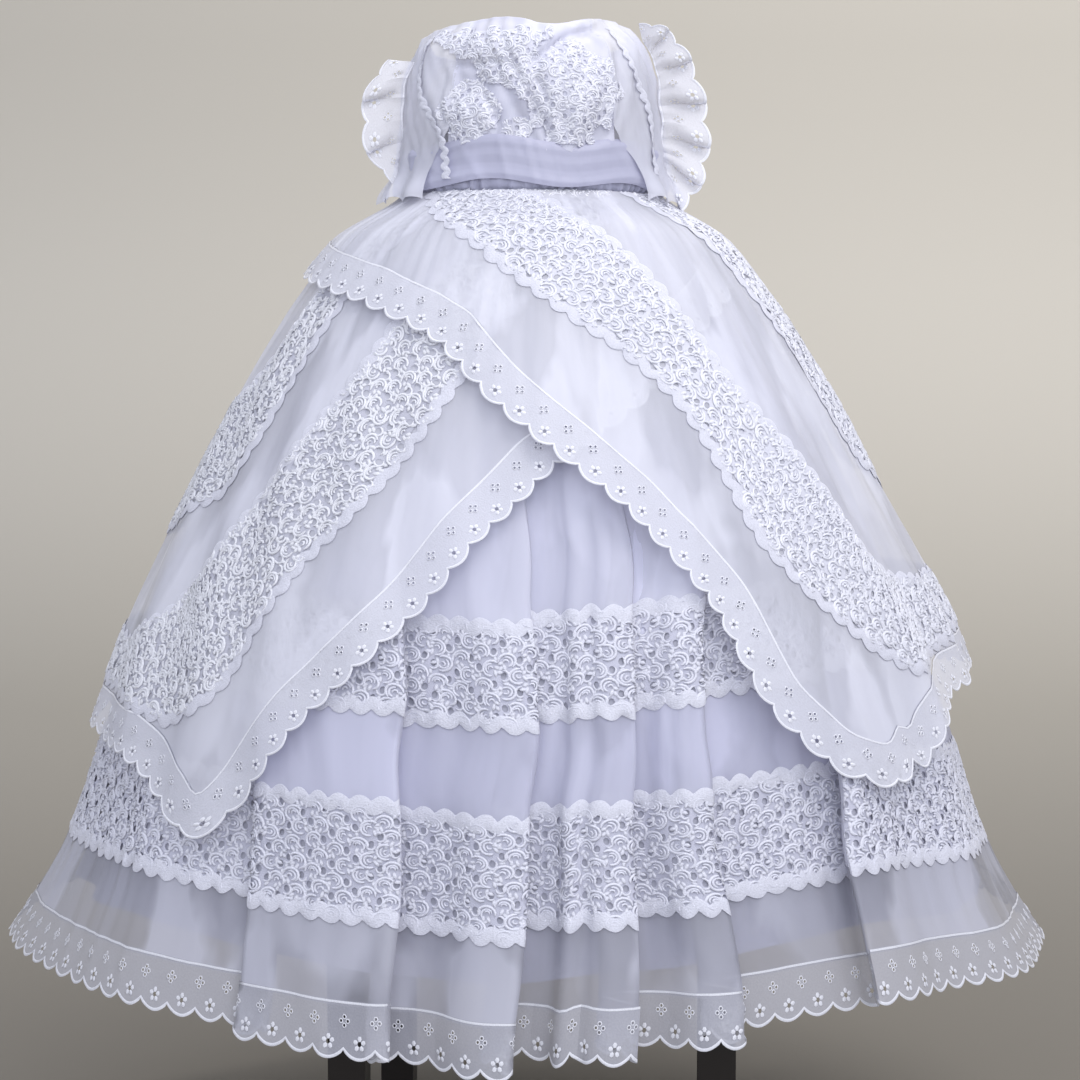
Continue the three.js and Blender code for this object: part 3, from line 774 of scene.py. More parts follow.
def ric_rac_tile(dip, droop):
    """One wave of ric-rac: rounded lobes outside, sharp notches inside."""
    xs = np.linspace(0, RIC_RAC_PITCH, 11)
    low, high = (
        1 - np.abs(np.cos(np.pi * (xs - notch) / RIC_RAC_PITCH)) ** 0.75 for notch in (5, 16))
    low = -RIC_RAC_HALF - droop * np.sin(np.pi * xs / RIC_RAC_PITCH) ** 2 + dip * low
    high = RIC_RAC_HALF - dip * high
    rows = [(0.0, 0.2), (0.25, 1.0), (0.75, 1.0), (1.0, 0.2)]
    points = np.stack(
        [np.column_stack([xs, low + (high - low) * f, np.full(len(xs), z)]) for f, z in rows], axis=1)
    return points.reshape(-1, 3), grid_faces(len(xs), len(rows), False)


# ---------------------------------------------------------------- materials

PATCH_GRAIN = (22, 13)         # facets of crumpled organza, along and away, per metre
FACET_BEND = 0.3

# Each material's colour, roughness, sheen, alpha, grain, bump, shade, clear, low and patches, as finish
# has them.
FINISHES = {
    "organza": ((0.84, 0.84, 0.94), 0.5, 0.25, 0.60, (22, 7), 0.0018, 0.94, 0.06, None, 0.12),
    "tier_organza": ((0.79, 0.79, 0.94), 0.5, 0.25, 0.60, (32, 6), 0.0014, 0.90, 0.06, None, 0.15),
    # The middle and hem tiers are the upper tier's organza made darker: painted shade, deepening toward the
    # hem.
    "shaded_middle_organza": ((0.69, 0.69, 0.86), 0.5, 0.25, 0.60, (32, 6), 0.0014, 0.90, 0.06, None, 0.17),
    "shaded_hem_organza": ((0.52, 0.52, 0.61), 0.5, 0.15, 0.56, (18, 7), 0.0014, 0.84, 0.08, None, 0.28),
    # The hem's eyelet cloth and stitching are the eyelet ones further down made darker: painted shade at the
    # hem.
    "hem_eyelet_cloth": ((0.49, 0.49, 0.56), 0.5, 0.15, 0.60, (600, 600), 0.0003, 0.9),
    "hem_eyelet_stitch": ((0.70, 0.70, 0.76), 0.4, 0.2, 1.0, (900, 900), 0.0003, 0.85),
    "lace_net": ((0.66, 0.66, 0.79), 0.6, 0.1, 0.9, (900, 900), 0.0004, 0.8, 0.08),
    "lace_cord": ((0.82, 0.82, 0.93), 0.42, 0.25, 1.0, (700, 700), 0.0005, 0.86, 0.0, 0.66),
    "under_lace_net": ((0.70, 0.70, 0.81), 0.6, 0.1, 0.86, (900, 900), 0.0004, 0.8, 0.08),
    "under_lace_cord": ((0.92, 0.92, 0.99), 0.42, 0.25, 1.0, (700, 700), 0.0005, 0.86, 0.0, 0.74),
    "over_lace_net": ((0.77, 0.77, 0.87), 0.6, 0.1, 0.9, (900, 900), 0.0004, 0.88, 0.06),
    "over_lace_cord": ((0.87, 0.87, 0.96), 0.42, 0.25, 1.0, (700, 700), 0.0005, 0.88, 0.0, 0.78),
    "sash_lace_net": ((0.78, 0.78, 0.90), 0.6, 0.1, 0.85, (900, 900), 0.0004, 0.88, 0.06),
    "sash_lace_cord": ((0.85, 0.85, 0.94), 0.45, 0.25, 1.0, (700, 700), 0.0004, 0.9, 0.0, 0.85),
    "tulle": ((0.56, 0.56, 0.67), 0.6, 0.1, 0.72),
    "eyelet_cloth": ((0.80, 0.80, 0.89), 0.5, 0.2, 0.72, (600, 600), 0.0003, 0.9),
    "eyelet_stitch": ((0.87, 0.87, 0.94), 0.36, 0.3, 1.0, (900, 900), 0.0003, 0.85),
    "ric_rac_weave": ((0.75, 0.75, 0.85), 0.55, 0.2, 0.94, (500, 700), 0.0005, 0.84),
    "sash_organza": ((0.74, 0.74, 0.88), 0.42, 0.25, 0.84, (45, 16), 0.0012, 0.9, 0.05, None, 0.12),
    "lappet_organza": ((0.76, 0.76, 0.86), 0.45, 0.25, 0.70, (45, 16), 0.0012, 0.92, 0.08, None, 0.07),
    # The band's and waistband's darker lavender is partly the cloth's own tone and partly painted shade of
    # their folds and of the seam under the sash.
    "sash_band_organza_and_shade": ((0.51, 0.51, 0.66), 0.42, 0.25, 0.95, (16, 60), 0.0008, 0.88, 0.0, None, 0.1),
    "lining_cloth": ((0.68, 0.68, 0.84), 0.6, 0.2, 1.0, (40, 4), 0.0015, 0.88),
    "form_cloth": ((0.72, 0.71, 0.76), 0.8, 0.1),
    "stand_wood": ((0.022, 0.016, 0.014), 0.42, 0.0, 1.0, (60, 4), 0.0004, 0.5),
    "floor": ((0.6, 0.57, 0.5), 0.95),
}


def feed(made, node, inputs):
    """Set a node's inputs; each value is a number, a colour or another node's output to link."""
    for name, value in inputs.items():
        if isinstance(value, bpy.types.NodeSocket):
            made.node_tree.links.new(value, node.inputs[name])
        else:
            node.inputs[name].default_value = value


def add_node(made, kind, inputs, output, **settings):
    """The named output of a new node in a material."""
    node = made.node_tree.nodes.new("ShaderNode" + kind)
    for name, value in settings.items():
        setattr(node, name, value)
    feed(made, node, inputs)
    return node.outputs[output]


def remap(made, source, low, high, to_low=0.0, to_high=1.0):
    """A value stretched from one range to another."""
    ends = {"From Min": low, "From Max": high, "To Min": to_low, "To Max": to_high}
    return add_node(made, "MapRange", {"Value": source, **ends}, "Result")


def blended(made, factor, first, second):
    """One colour turning into another; each is a colour or an output."""
    first, second = ((*end, 1) if isinstance(end, tuple) else end for end in (first, second))
    return add_node(made, "Mix", {"Factor": factor, "A": first, "B": second}, "Result", data_type="RGBA")


def finish(name, colour, roughness, sheen=0.0, alpha=1.0, grain=None, bump=None, shade=0.86, clear=0.0,
           low=None, patches=None):
    """A procedural material.

    grain is the weave's or gathers' scale along and away, per metre, shade the darkest part of it and
    clear how much thinner or thicker it is in places. low is the share of the colour kept where a point
    stands lowest, between raised threads: painted shade in the hollows. patches is how much duller and
    thinner crumpled organza is where it leans away from the light.
    """
    made = bpy.data.materials.new(name)
    made.use_nodes = True
    shader = made.node_tree.nodes["Principled BSDF"]
    feed(made, shader, {
        "Base Color": (*colour, 1), "Roughness": roughness, "Sheen Weight": sheen,
        "Sheen Roughness": 0.4, "Alpha": alpha,
    })
    if grain is None:
        return made
    uv = add_node(made, "TexCoord", {}, "UV")

    def sized(scale):
        return add_node(made, "Mapping", {"Scale": (*scale, 1), "Vector": uv}, "Vector")

    def noise(scale, detail, output):
        return add_node(made, "TexNoise", {"Scale": 1, "Detail": detail, "Vector": sized(scale)}, output)

    def facets(scale):
        """The soft-edged facets of crumpled cloth, each with a value of its own."""
        bend = {"Factor": FACET_BEND, "A": sized(scale), "B": noise([2 * s for s in scale], 1, "Color")}
        bent = add_node(made, "Mix", bend, "Result", data_type="VECTOR")
        cell = {"Scale": 1, "Smoothness": 0.45, "Vector": bent}
        colours = add_node(made, "TexVoronoi", cell, "Color", feature="SMOOTH_F1")
        return add_node(made, "SeparateColor", {"Color": colours}, "Red")

    def darker(share):
        return tuple(channel * share for channel in colour)

    weave = noise(grain, 2, "Fac")
    tint = blended(made, remap(made, weave, 0.3, 0.7), darker(shade), colour)
    thickness = remap(made, weave, 0.3, 0.7, alpha + clear, alpha - clear) if clear else alpha
    # painted shade: the colour falls to the share low where the relief says a point stands low, in the
    # hollows between threads
    if low is not None:
        relief = add_node(made, "Attribute", {}, "Fac", attribute_name="relief")
        tint = blended(made, remap(made, relief, 0.4, 1.7), darker(low), tint)
    if patches:
        near = remap(made, facets(PATCH_GRAIN), 0.25, 0.75)
        tint = blended(made, near, darker(1 - patches), tint)
        more = remap(made, near, 0.0, 1.0, 0.0, patches)
        thickness = add_node(made, "Math", {0: more, 1: thickness}, "Value", operation="ADD")
    bumps = add_node(made, "Bump", {"Strength": 1, "Distance": bump, "Height": weave}, "Normal")
    feed(made, shader, {"Base Color": tint, "Alpha": thickness, "Normal": bumps})
    return made


MATERIALS = {name: finish(name, *row) for name, row in FINISHES.items()}

# ---------------------------------------------------------------- the skirt

RING_COLUMNS = 760             # of a tier, round the skirt
BACKING_GAP = 2.0              # how far behind its net a lace band's organza lies
TRIM_LIFT, CORD_LIFT = 0.9, 0.4        # how far braid stands off its seam, and lace cords off their net
SPARE = 2                      # how far lace reaches past its seams
BANDS = {"lower_lace": (LOWER_LACE, 100), "upper_lace": (UPPER_LACE, 200)}     # heights, seed


def declare(piece, flat, held, rests_on, extra=(), area=None):
    """Takes a sheet and records nothing; flat, in millimetres, and area, in square metres where it isn't a
    rectangle, are not used.
    """
    list(extra)
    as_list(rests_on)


def strip(piece, length, solid, middle=None):
    """The flat size and area of a net strip, of which a share is solid, from its pattern.

    length is the one that it was laid out to, and middle the one along the middle of a strip that
    bends, where it is as long as it was cut.
    """
    middle = middle or length
    area = flat_area(piece) * middle / length
    return {"flat": (middle, area / MM / MM / solid / middle), "area": area}


def slant(low, high):
    """The length of the skirt's outline between two heights."""
    heights = np.linspace(low, high, 50)
    return walked(np.column_stack([heights, outline(heights)]))[-1]


def ring_sheet(name, node, low, high, rows, cloth, out=0.0):
    """A closed ring of cloth between two heights of the skirt, and its area."""
    places = 0.5 + np.arange(RING_COLUMNS)[:, None] / RING_COLUMNS
    heights = np.linspace(low, high, rows)
    points = skirt(places, heights, out)
    faces = grid_faces(*points.shape[:2], True)
    uv = grid_uv(places * HEM_LENGTH, heights)
    return make_piece(name, points, faces, cloth, uv, node), area_of(points, faces) * MM * MM


def build_lining():
    """A plain cone inside the folds."""
    angles, heights = ring_angles(300), np.linspace(*LINING, 16)
    down = growth(heights)
    waist_inset, hem_inset = LINING_INSET
    inset = waist_inset + (hem_inset - waist_inset) * down ** FOLD_GROWTH
    inset = inset - 2.5 * sway(angles / 360) * down
    half = outline(heights)
    points = around(angles, half - inset, half * DEPTH_RATIO - inset, heights - hem_drop(angles) * down)
    faces = grid_faces(*points.shape[:2], True)
    uv = grid_uv(angles * 8.5, heights)
    piece = make_piece("lining_cloth", points, faces, "lining_cloth", uv, "lining")
    flat = (walked(points[:, 0])[-1], slant(*LINING))
    declare(piece, flat, "hung", ["form"], area=area_of(points, faces) * MM * MM)


def lace_pieces(name, node, place, length, rows, row_pitch, seed, keep, threads="lace", base=0.0, fine=1.0):
    """The net and the scrolls of a lace band; threads names their finishes, fine is their size."""
    grounds = [lace_ground(turn) for turn in (0.25, -0.3)]
    scrolls = [lace_scroll(*scroll) for scroll in LACE_SCROLLS]
    size = [fine, row_pitch / LACE_CELL[1], 1]
    made = []
    for suffix, thread, tiles, first, lift, jitter in (
        ("_net", "_net", grounds, seed, 0, 0.0),
        ("_flowers", "_cord", scrolls, seed + 50, CORD_LIFT, LACE_JITTER * fine),
    ):
        parts = []
        for row in range(rows):
            shown = [flipped(tile) for tile in tiles] if row % 2 else tiles
            shown = [(points * size + [0, 0, lift], faces) for points, faces in shown]
            parts.append(tiled(
                place, shown, length, fine * LACE_CELL[0], first + row, jitter, keep,
                base + row * row_pitch, row_pitch / 2))
        points, faces, flat = joined(parts)
        made.append(make_piece(name + suffix, points, faces, threads + thread, flat, node))
    return made


def eyelet_pieces(name, place, length, threads="eyelet"):
    """The cloth and the stitching of an eyelet edging."""
    made = []
    for suffix, thread, tile in (
        ("_cloth", "_cloth", eyelet_cloth()), ("_stitching", "_stitch", eyelet_stitching()),
    ):
        points, faces, flat = tiled(place, [tile], length, EYELET_PITCH)
        made.append(make_piece(name + suffix, points, faces, threads + thread, flat, name))
    return made


def ric_rac_piece(name, place, length, keep=None, base=0.0):
    tiles = [ric_rac_tile(*wave) for wave in RIC_RAC_WAVES]
    tiles = [(points + [0, 0, TRIM_LIFT], faces) for points, faces in tiles]
    points, faces, flat = tiled(place, tiles, length, RIC_RAC_PITCH, len(name), keep=keep, base=base)
    return make_piece(name + "_trim", points, faces, "ric_rac_weave", flat, name)


def build_lace_band(name, ends, seed, trims):
    low, high = ends
    tall = slant(low, high)
    length, place = on_ring(low, (high - low) / tall, (low + high) / 2)
    rows = round(tall / LACE_CELL[1])
    pitch = tall / rows
    net, flowers = lace_pieces(
        name, name, place, length, rows + 1, pitch, seed,
        lambda place, height: (height > low - SPARE) & (height < high + SPARE), base=-pitch / 2)
    declare(
        net, held="gathered", rests_on=["lining"], extra=[flowers, *trims],
        **strip(net, length, NET_SHARE))
    backing, _ = ring_sheet(name + "_backing", name, low, high, 9, "tulle", -BACKING_GAP)
    declare(backing, (length, tall), "gathered", ["lining"])


trims = {}
for name, (heights, _) in BANDS.items():
    trims[name] = []
    for side, height in zip(("bottom", "top"), heights):
        length, place = on_ring(height)
        trims[name].append(ric_rac_piece(f"{name}_{side}_ric_rac", place, length))
# the lower tiers take darker copies of the organza, painted shade toward the hem
for name, low, high, rows, cloth in (
    ("upper_tier", UPPER_LACE[1], WAIST, 30, "tier_organza"),
    ("middle_tier", LOWER_LACE[1], UPPER_LACE[0], 14, "shaded_middle_organza"),
    ("hem_tier", HEM + EYELET_HEIGHT - EYELET_SEAM, LOWER_LACE[0], 14, "shaded_hem_organza"),
):
    piece, area = ring_sheet(name + "_cloth", name, low, high, rows, cloth)
    flared = name == "upper_tier"
    declare(
        piece, (ring_walk(low)[-1], slant(low, high)), "gathered", ["waistband" if flared else "lining"],
        area=area if flared else None)
build_lining()
for name, (heights, seed) in BANDS.items():
    build_lace_band(name, heights, seed, trims[name])
# the hem's eyelet takes darker copies of the eyelet's finishes, painted shade at the hem
length, place = on_ring(HEM, middle=HEM + 20, lift=0.7)
cloth, stitching = eyelet_pieces("hem_eyelet", place, length, "hem_eyelet")
declare(cloth, (length, EYELET_HEIGHT), "gathered", ["lining"], [stitching], flat_area(cloth))

# ---------------------------------------------------------------- the overskirt

LEAST_SHARE = 0.32             # of its flat rectangle that a shaped panel fills
BAND_ROOM = {"long": 190, "short": 215}        # how far up the cloth a lace band is laid out
LACE_LIFT, EYELET_LIFT = 0.9, 0.8
THIN = 0.5                     # strips narrower than this aren't made


def waist_line(angle):
    return np.full(np.shape(angle), float(WAIST))


def below(line, margin=0.0):
    """Keeps what lies under a line and under the waist."""
    return lambda angle, height: height < np.minimum(line(angle) + margin, WAIST)


def panel_organza(panel, name, lower, upper, rows):
    """A strip of organza between two lines of a panel."""
    angles = panel["start"] + np.linspace(0, 360, 401)
    low = np.minimum(lower(angles), WAIST)
    high = np.maximum(np.minimum(upper(angles), WAIST), low)
    heights = low[:, None] + (high - low)[:, None] * np.linspace(0, 1, rows)
    points = overskirt(panel)(angles[:, None], heights)
    faces = grid_faces(len(angles), rows, False)
    faces = faces[(high - low)[faces[:, :2] // rows].max(axis=1) > THIN]
    node = f"{panel['name']}_{name}"
    uv = grid_uv(angles[:, None] * 8.2, heights)
    piece = make_piece(node + "_cloth", points, faces, "organza", uv, node)
    area = area_of(points, faces)
    tall = 1.12 * np.ptp(points.reshape(-1, 3)[faces.ravel(), 2])
    wide = np.diff(walked(points[:, 0] * [1, 1, 0]))[(high - low)[1:] > THIN].sum()
    flat = (min(wide, area / LEAST_SHARE / tall), tall)
    declare(piece, flat, "draped", ["upper_tier_cloth"], area=area * MM * MM)


def line_span(panel, line, margin):
    """From where a lace band's line leaves the waist on one half to where it meets it on the other."""
    if panel["start"] == -90:
        end = line[0][0] - margin
        return end, 180 - end
    end = line[-1][0] + margin
    return -180 - end, end


def build_panel_band(panel, band, number, lines, seed):
    surface, name = overskirt(panel), panel["name"]
    node, deep = f"{name}_lace_{band}", BAND_ROOM[band]
    low, high = lines
    length, ground = ladder(surface, low, line_span(panel, panel[band]["lower"], 8), deep)
    net, flowers = lace_pieces(
        node, node, on_ladder(surface, ground, LACE_LIFT), length, int(deep / LACE_CELL[1]) - 1,
        LACE_CELL[1], seed, below(high, SPARE), panel["threads"])
    trims, edges = [], []
    for seam, side, line in ((number, "lower", low), (number + 1, "upper", high)):
        long, ground = ladder(surface, line, line_span(panel, panel[band][side], 2), 20)
        edges.append(long)
        trims.append(ric_rac_piece(
            f"{name}_seam_{seam}_ric_rac", across_line(surface, ground), long, below(waist_line), 10.0))
    declare(
        net, held="draped", rests_on=[f"{name}_organza_low_cloth"], extra=[flowers, *trims],
        **strip(net, length, NET_SHARE, sum(edges) / 2))


def build_panel(panel, seed):
    surface, name, start = overskirt(panel), panel["name"], panel["start"]
    border = softened(mirrored(panel["border"], start), BORDER_SOFTNESS, 360)
    long, short = (
        [open_line(panel[band][side], start) for side in ("lower", "upper")] for band in ("long", "short"))
    panel_organza(panel, "organza_low", border, long[1], 34)
    panel_organza(panel, "organza_middle", long[1], short[1], 28)
    panel_organza(panel, "organza_top", short[1], waist_line, 16)
    length, ground = ladder(surface, border, (start, start + 360), -EYELET_HEIGHT - 8)
    cloth, stitching = eyelet_pieces(
        f"{name}_eyelet", on_ladder(surface, ground, EYELET_LIFT, EYELET_HEIGHT), length)
    declare(
        cloth, (length, EYELET_HEIGHT), "draped", [f"{name}_organza_low_cloth"], [stitching],
        flat_area(cloth))
    build_panel_band(panel, "long", 1, long, seed)
    build_panel_band(panel, "short", 3, short, seed + 100)


build_panel(UNDER, 1000)
build_panel(OVER, 2000)

# ---------------------------------------------------------------- the sash

SASH_OUTLINE = [               # height, half width, half depth
    (1056, 144, 124), (1072, 145, 125), (1088, 142, 123), (1106, 138, 120), (1140, 140, 123),
    (1180, 134, 118), (1206, 122, 108), (1224, 110, 98),
]
SASH_BAND = (1061, 1106)
SASH_LOW = 1096
SASH_HIGH = 1224               # above this the outline stays the same, and only draws in
DRAW_IN = 0.010                # how much of its size, for each millimetre
LAPPET_LOW = 1050
LAPPET_DRAPE = 4.5             # how far a lappet stands off the band
FOOT_FLARE = 13                # how far a lappet's foot spreads over the skirt
SASH_TOP = [                   # angle, height
    (-90, 1212), (-70, 1222), (-50, 1225), (-36, 1228), (-20, 1232), (-4, 1230), (6, 1221),
    (16, 1222), (30, 1230), (52, 1234), (70, 1230), (90, 1222), (140, 1212), (200, 1208), (240, 1208),
]
# Bumps and hollows of the front, looking at it: across, height, half width, half height, out.
SASH_LUMPS = [
    (-57, 1162, 26, 22, -9),
    (-8, 1128, 22, 24, -8),
    (46, 1152, 38, 46, 8),
    (-62, 1126, 26, 30, 3),
    (-34, 1206, 52, 20, 6),
    (96, 1160, 22, 40, 3),
    (-100, 1150, 16, 40, 3),
    (-98, 1208, 22, 24, 6),
    (100, 1206, 22, 24, 6),
]
# A crease along a run of (across, height): half width and how far in.
SASH_CREASES = [
    ([(4, 1186), (22, 1201), (42, 1213), (70, 1223)], 6, -10),
    ([(-82, 1186), (-60, 1182), (-38, 1186), (-20, 1180)], 4, -3),
    ([(20, 1100), (14, 1122), (16, 1146), (6, 1166)], 4, -4),
    ([(-40, 1100), (-34, 1122), (-42, 1140), (-50, 1150)], 4, -3.5),
    ([(84, 1196), (92, 1166), (90, 1140), (78, 1112)], 4, -3),
    ([(-88, 1180), (-94, 1150), (-88, 1124)], 3, -2.5),
]
LIP = 14                       # cloth turned in at the sash's top edge
LIP_TURN, LIP_IN, LIP_UP = 0.8 * np.pi, 6, 4
SASH_LACE_FINE = 0.72          # the sash's lace over the skirt's, in size
SASH_LACE_SPAN, SASH_RADIUS = 120, 134         # the front that its lace is laid out on, degrees
PATCHES_SHARE = 0.6            # of their rectangle that the patches fill
LACE_PATCHES = [               # across, height, half width, half height
    (-36, 1211, 56, 24),
    (38, 1154, 47, 56),
    (-62, 1136, 30, 34),
    (-24, 1184, 40, 24),
    (-14, 1118, 16, 12),
]
SASH_BRAIDS = {                # height, angle
    "right": [(1078, 61), (1112, 60), (1132, 59), (1150, 56), (1172, 52), (1192, 48), (1224, 46)],
    "left": [
        (1070, -35), (1098, -37), (1118, -41), (1135, -47), (1155, -53), (1175, -58), (1195, -60),
        (1214, -59),
    ],
}
# A sash braid's waves beside the skirt's, along and away, its slack, its lift and the sash's radius.
BRAID_SIZE, BRAID_SLACK, BRAID_LIFT, BRAID_RADIUS = [0.55, 0.62, 1], 1.15, 1.8, 130
# A frill: the angle of its seam, its lobes, how deep they are, and its line: height of its seam, then
# where its edge is, across and height.
FRILLS = {
    "right": (74, 6, 1.5, [
        (1217, 112, 1236), (1209, 136, 1242), (1196, 158, 1222), (1176, 174, 1190), (1150, 187, 1156),
        (1124, 191, 1118), (1100, 189, 1084), (1084, 181, 1054), (1076, 158, 1038),
    ]),
    "left": (-74, 3, 1.0, [
        (1196, -150, 1199), (1180, -167, 1183), (1160, -180, 1158), (1135, -182, 1130),
        (1112, -178, 1102), (1092, -162, 1078), (1080, -134, 1058),
    ]),
}
# One lobe of a frill: how far along the cloth, how far along the edge, how far toward the front.
FRILL_LOBE = [(0, 0, -3), (0.1, 0.02, -1), (0.62, 0.9, 8), (0.74, 1.12, 8), (0.86, 1.1, 1), (1, 1, -3)]
FRILL_PLEAT, FRILL_PLEAT_PITCH = 1.6, 9.0
FRILL_EDGE = 4.0               # how far above its lowest points a frill's length is measured
# The band's folds, from its lower edge up: height, how far out.
BAND_PROFILE = [
    (1056, -1), (1061, 3.2), (1067, 4.2), (1073, 2.6), (1078, 2.2), (1086, 3.4), (1093, 3.5), (1099, 4.6),
    (1103, 3.8), (1107, 1.6), (1110, -1),
]
WAISTBAND = [(1056.5, 1.2), (1060, 4.0), (1065, 5.2), (1070, 5.4), (1075, 4.4), (1078, 2.0)]   # the same
WAIST_HALF = SKIRT_OUTLINE[-1][1]

sash_half = softened([(h, half) for h, half, _ in SASH_OUTLINE], 14)
sash_depth = softened([(h, depth) for h, _, depth in SASH_OUTLINE], 14)
sash_top = softened(SASH_TOP, 12, 360)
band_sway = waves(range(2, 8), 1.0, 21)
band_creases = creases((5, 7, 11, 16, 23, 31), (9, 60), 1.9, 22)
crumple = [waves(range(low, low + 24, 3), 1.0, 30 + low) for low in (9, 17, 31)]


def across_sash(angle, height):
    """How far to the side a place of the sash is, looking at the front."""
    return sash_half(height) * np.sin(np.radians(angle))


def from_line(x, y, line):
    """How far points are from a run of (x, y)."""
    best = np.inf
    for (x0, y0), (x1, y1) in zip(line[:-1], line[1:]):
        dx, dy = x1 - x0, y1 - y0
        t = np.clip(((x - x0) * dx + (y - y0) * dy) / (dx * dx + dy * dy), 0, 1)
        best = np.minimum(best, np.hypot(x - x0 - t * dx, y - y0 - t * dy))
    return best


def sash_relief(angle, height):
    """The sash's lumps, creases and crumples."""
    x, total = across_sash(angle, height), 0
    for cx, ch, half_width, half_height, out in SASH_LUMPS:
        total = total + out * np.exp(-((x - cx) / half_width) ** 2 - ((height - ch) / half_height) ** 2)
    for line, width, out in SASH_CREASES:
        total = total + out * np.exp(-(from_line(x, height, line) / width) ** 2)
    total = total * smoothstep(np.cos(np.radians(angle)), -0.1, 0.25)
    for i, (ripple, size) in enumerate(zip(crumple, (1.1, 0.8, 0.5))):
        total = total + size * ripple(angle / 360 + 0.0006 * (i - 1) * (height - 1100))
    return total * smoothstep(height, LAPPET_LOW - 10, SASH_LOW + 14)


def sash(angle, height, out=0.0):
    """Points of the sash; above its top edge the height goes on round the lip, in and down."""
    kept = np.minimum(height, sash_top(angle))
    turn = np.clip(height - sash_top(angle), 0, LIP) / LIP * LIP_TURN
    out = out + sash_relief(angle, kept) - LIP_IN * (1 - np.cos(turn))
    level = np.minimum(kept, SASH_HIGH)
    size = 1 - DRAW_IN * (kept - level)
    return around(
        angle, (sash_half(level) + out) * size, (sash_depth(level) + out) * size,
        kept + LIP_UP * np.sin(turn))


def lappet_drape(height):
    return LAPPET_DRAPE * smoothstep(1150 - height, 0, 50)


def sash_sheet(name, node, span, cloth, low=SASH_LOW, tuck=0.0):
    """A part of the sash.

    tuck turns the inner edge of a lappet aside, in degrees, toward its foot.
    """
    angles = np.linspace(*span, round((span[1] - span[0]) / 1.2) + 1)[:, None]
    edge = low + 2.5 * band_sway(3 * angles / 360)
    heights = edge + (sash_top(angles) + LIP - edge) * np.linspace(0, 1, 48)
    inner = np.abs(angles - span[0 if tuck < 0 else 1]) / (span[1] - span[0])
    angles = angles + tuck * inner * smoothstep(1130 - heights, 0, 60)
    drape = 0.0
    if low < SASH_LOW:
        ripple = 1 + 0.25 * crumple[1](angles / 360)
        drape = lappet_drape(heights) + FOOT_FLARE * ripple * smoothstep(1084 - heights, 0, 34)
    points = sash(angles, heights, drape)
    faces = grid_faces(*points.shape[:2], False)
    piece = make_piece(name, points, faces, cloth, grid_uv(angles * 2.2, heights), node)
    declare(piece, grid_size(points), "gathered", ["sash_band"])


def in_patches(angle, height):
    """Keeps what lies in the patches of lace, with ragged edges."""
    x, inside = across_sash(angle, height), False
    for cx, ch, half_width, half_height in LACE_PATCHES:
        ragged = 1 + 0.35 * np.sin(x / 8.1) * np.cos(height / 6.7) + 0.1 * np.sin(x / 2.3)
        inside |= ((x - cx) / half_width) ** 2 + ((height - ch) / half_height) ** 2 < ragged
    return inside & (height < sash_top(angle) + 3)


def build_sash_lace():
    def place(s, t, out):
        angle, height = np.degrees(s / SASH_RADIUS) - SASH_LACE_SPAN / 2, SASH_LOW + t
        return sash(angle, height, 0.6 * out + 1.6), angle, height

    length = np.radians(SASH_LACE_SPAN) * SASH_RADIUS
    net, flowers = lace_pieces(
        "sash_lace", "sash_lace_front", place, length, 11, SASH_LACE_FINE * LACE_CELL[1], 3000, in_patches,
        "sash_lace", fine=SASH_LACE_FINE)
    declare(
        net, held="gathered", rests_on=["sash_front_cloth"], extra=[flowers],
        **strip(net, length, PATCHES_SHARE * NET_SHARE))


def band(node, points, uv, held, rests_on):
    """A closed band of plain cloth."""
    faces = grid_faces(*points.shape[:2], True)
    # in the band's darker lavender, partly its own tone and partly painted shade
    piece = make_piece(node + "_cloth", points, faces, "sash_band_organza_and_shade", uv, node)
    declare(piece, grid_size(points, True), held, rests_on)


def build_waistband():
    angles, (heights, swell) = ring_angles(360), np.array(WAISTBAND).T
    turn = angles / 360
    out = swell + 0.8 * GATHERS[WAIST][0](turn) + 0.5 * crumple[1](turn + 0.003 * heights)
    points = around(angles, WAIST_HALF + out, WAIST_HALF * DEPTH_RATIO + out, heights)
    band("waistband", points, grid_uv(angles * 2.4, heights), "stretched", ["form"])


def build_sash_band():
    angles, heights = ring_angles(300), np.linspace(*SASH_BAND, 34)
    turn = angles / 360
    out = np.interp(heights + 2.2 * band_sway(turn), *np.array(BAND_PROFILE, float).T)
    out = out + band_creases(turn, heights)
    half, depth = sash_half(heights) + out, sash_depth(heights) + out
    points = around(angles, half, depth, heights + 2.4 * band_sway(turn + 0.4))
    band("sash_band", points, grid_uv(heights, angles * 2.3), "gathered", ["waistband_cloth"])


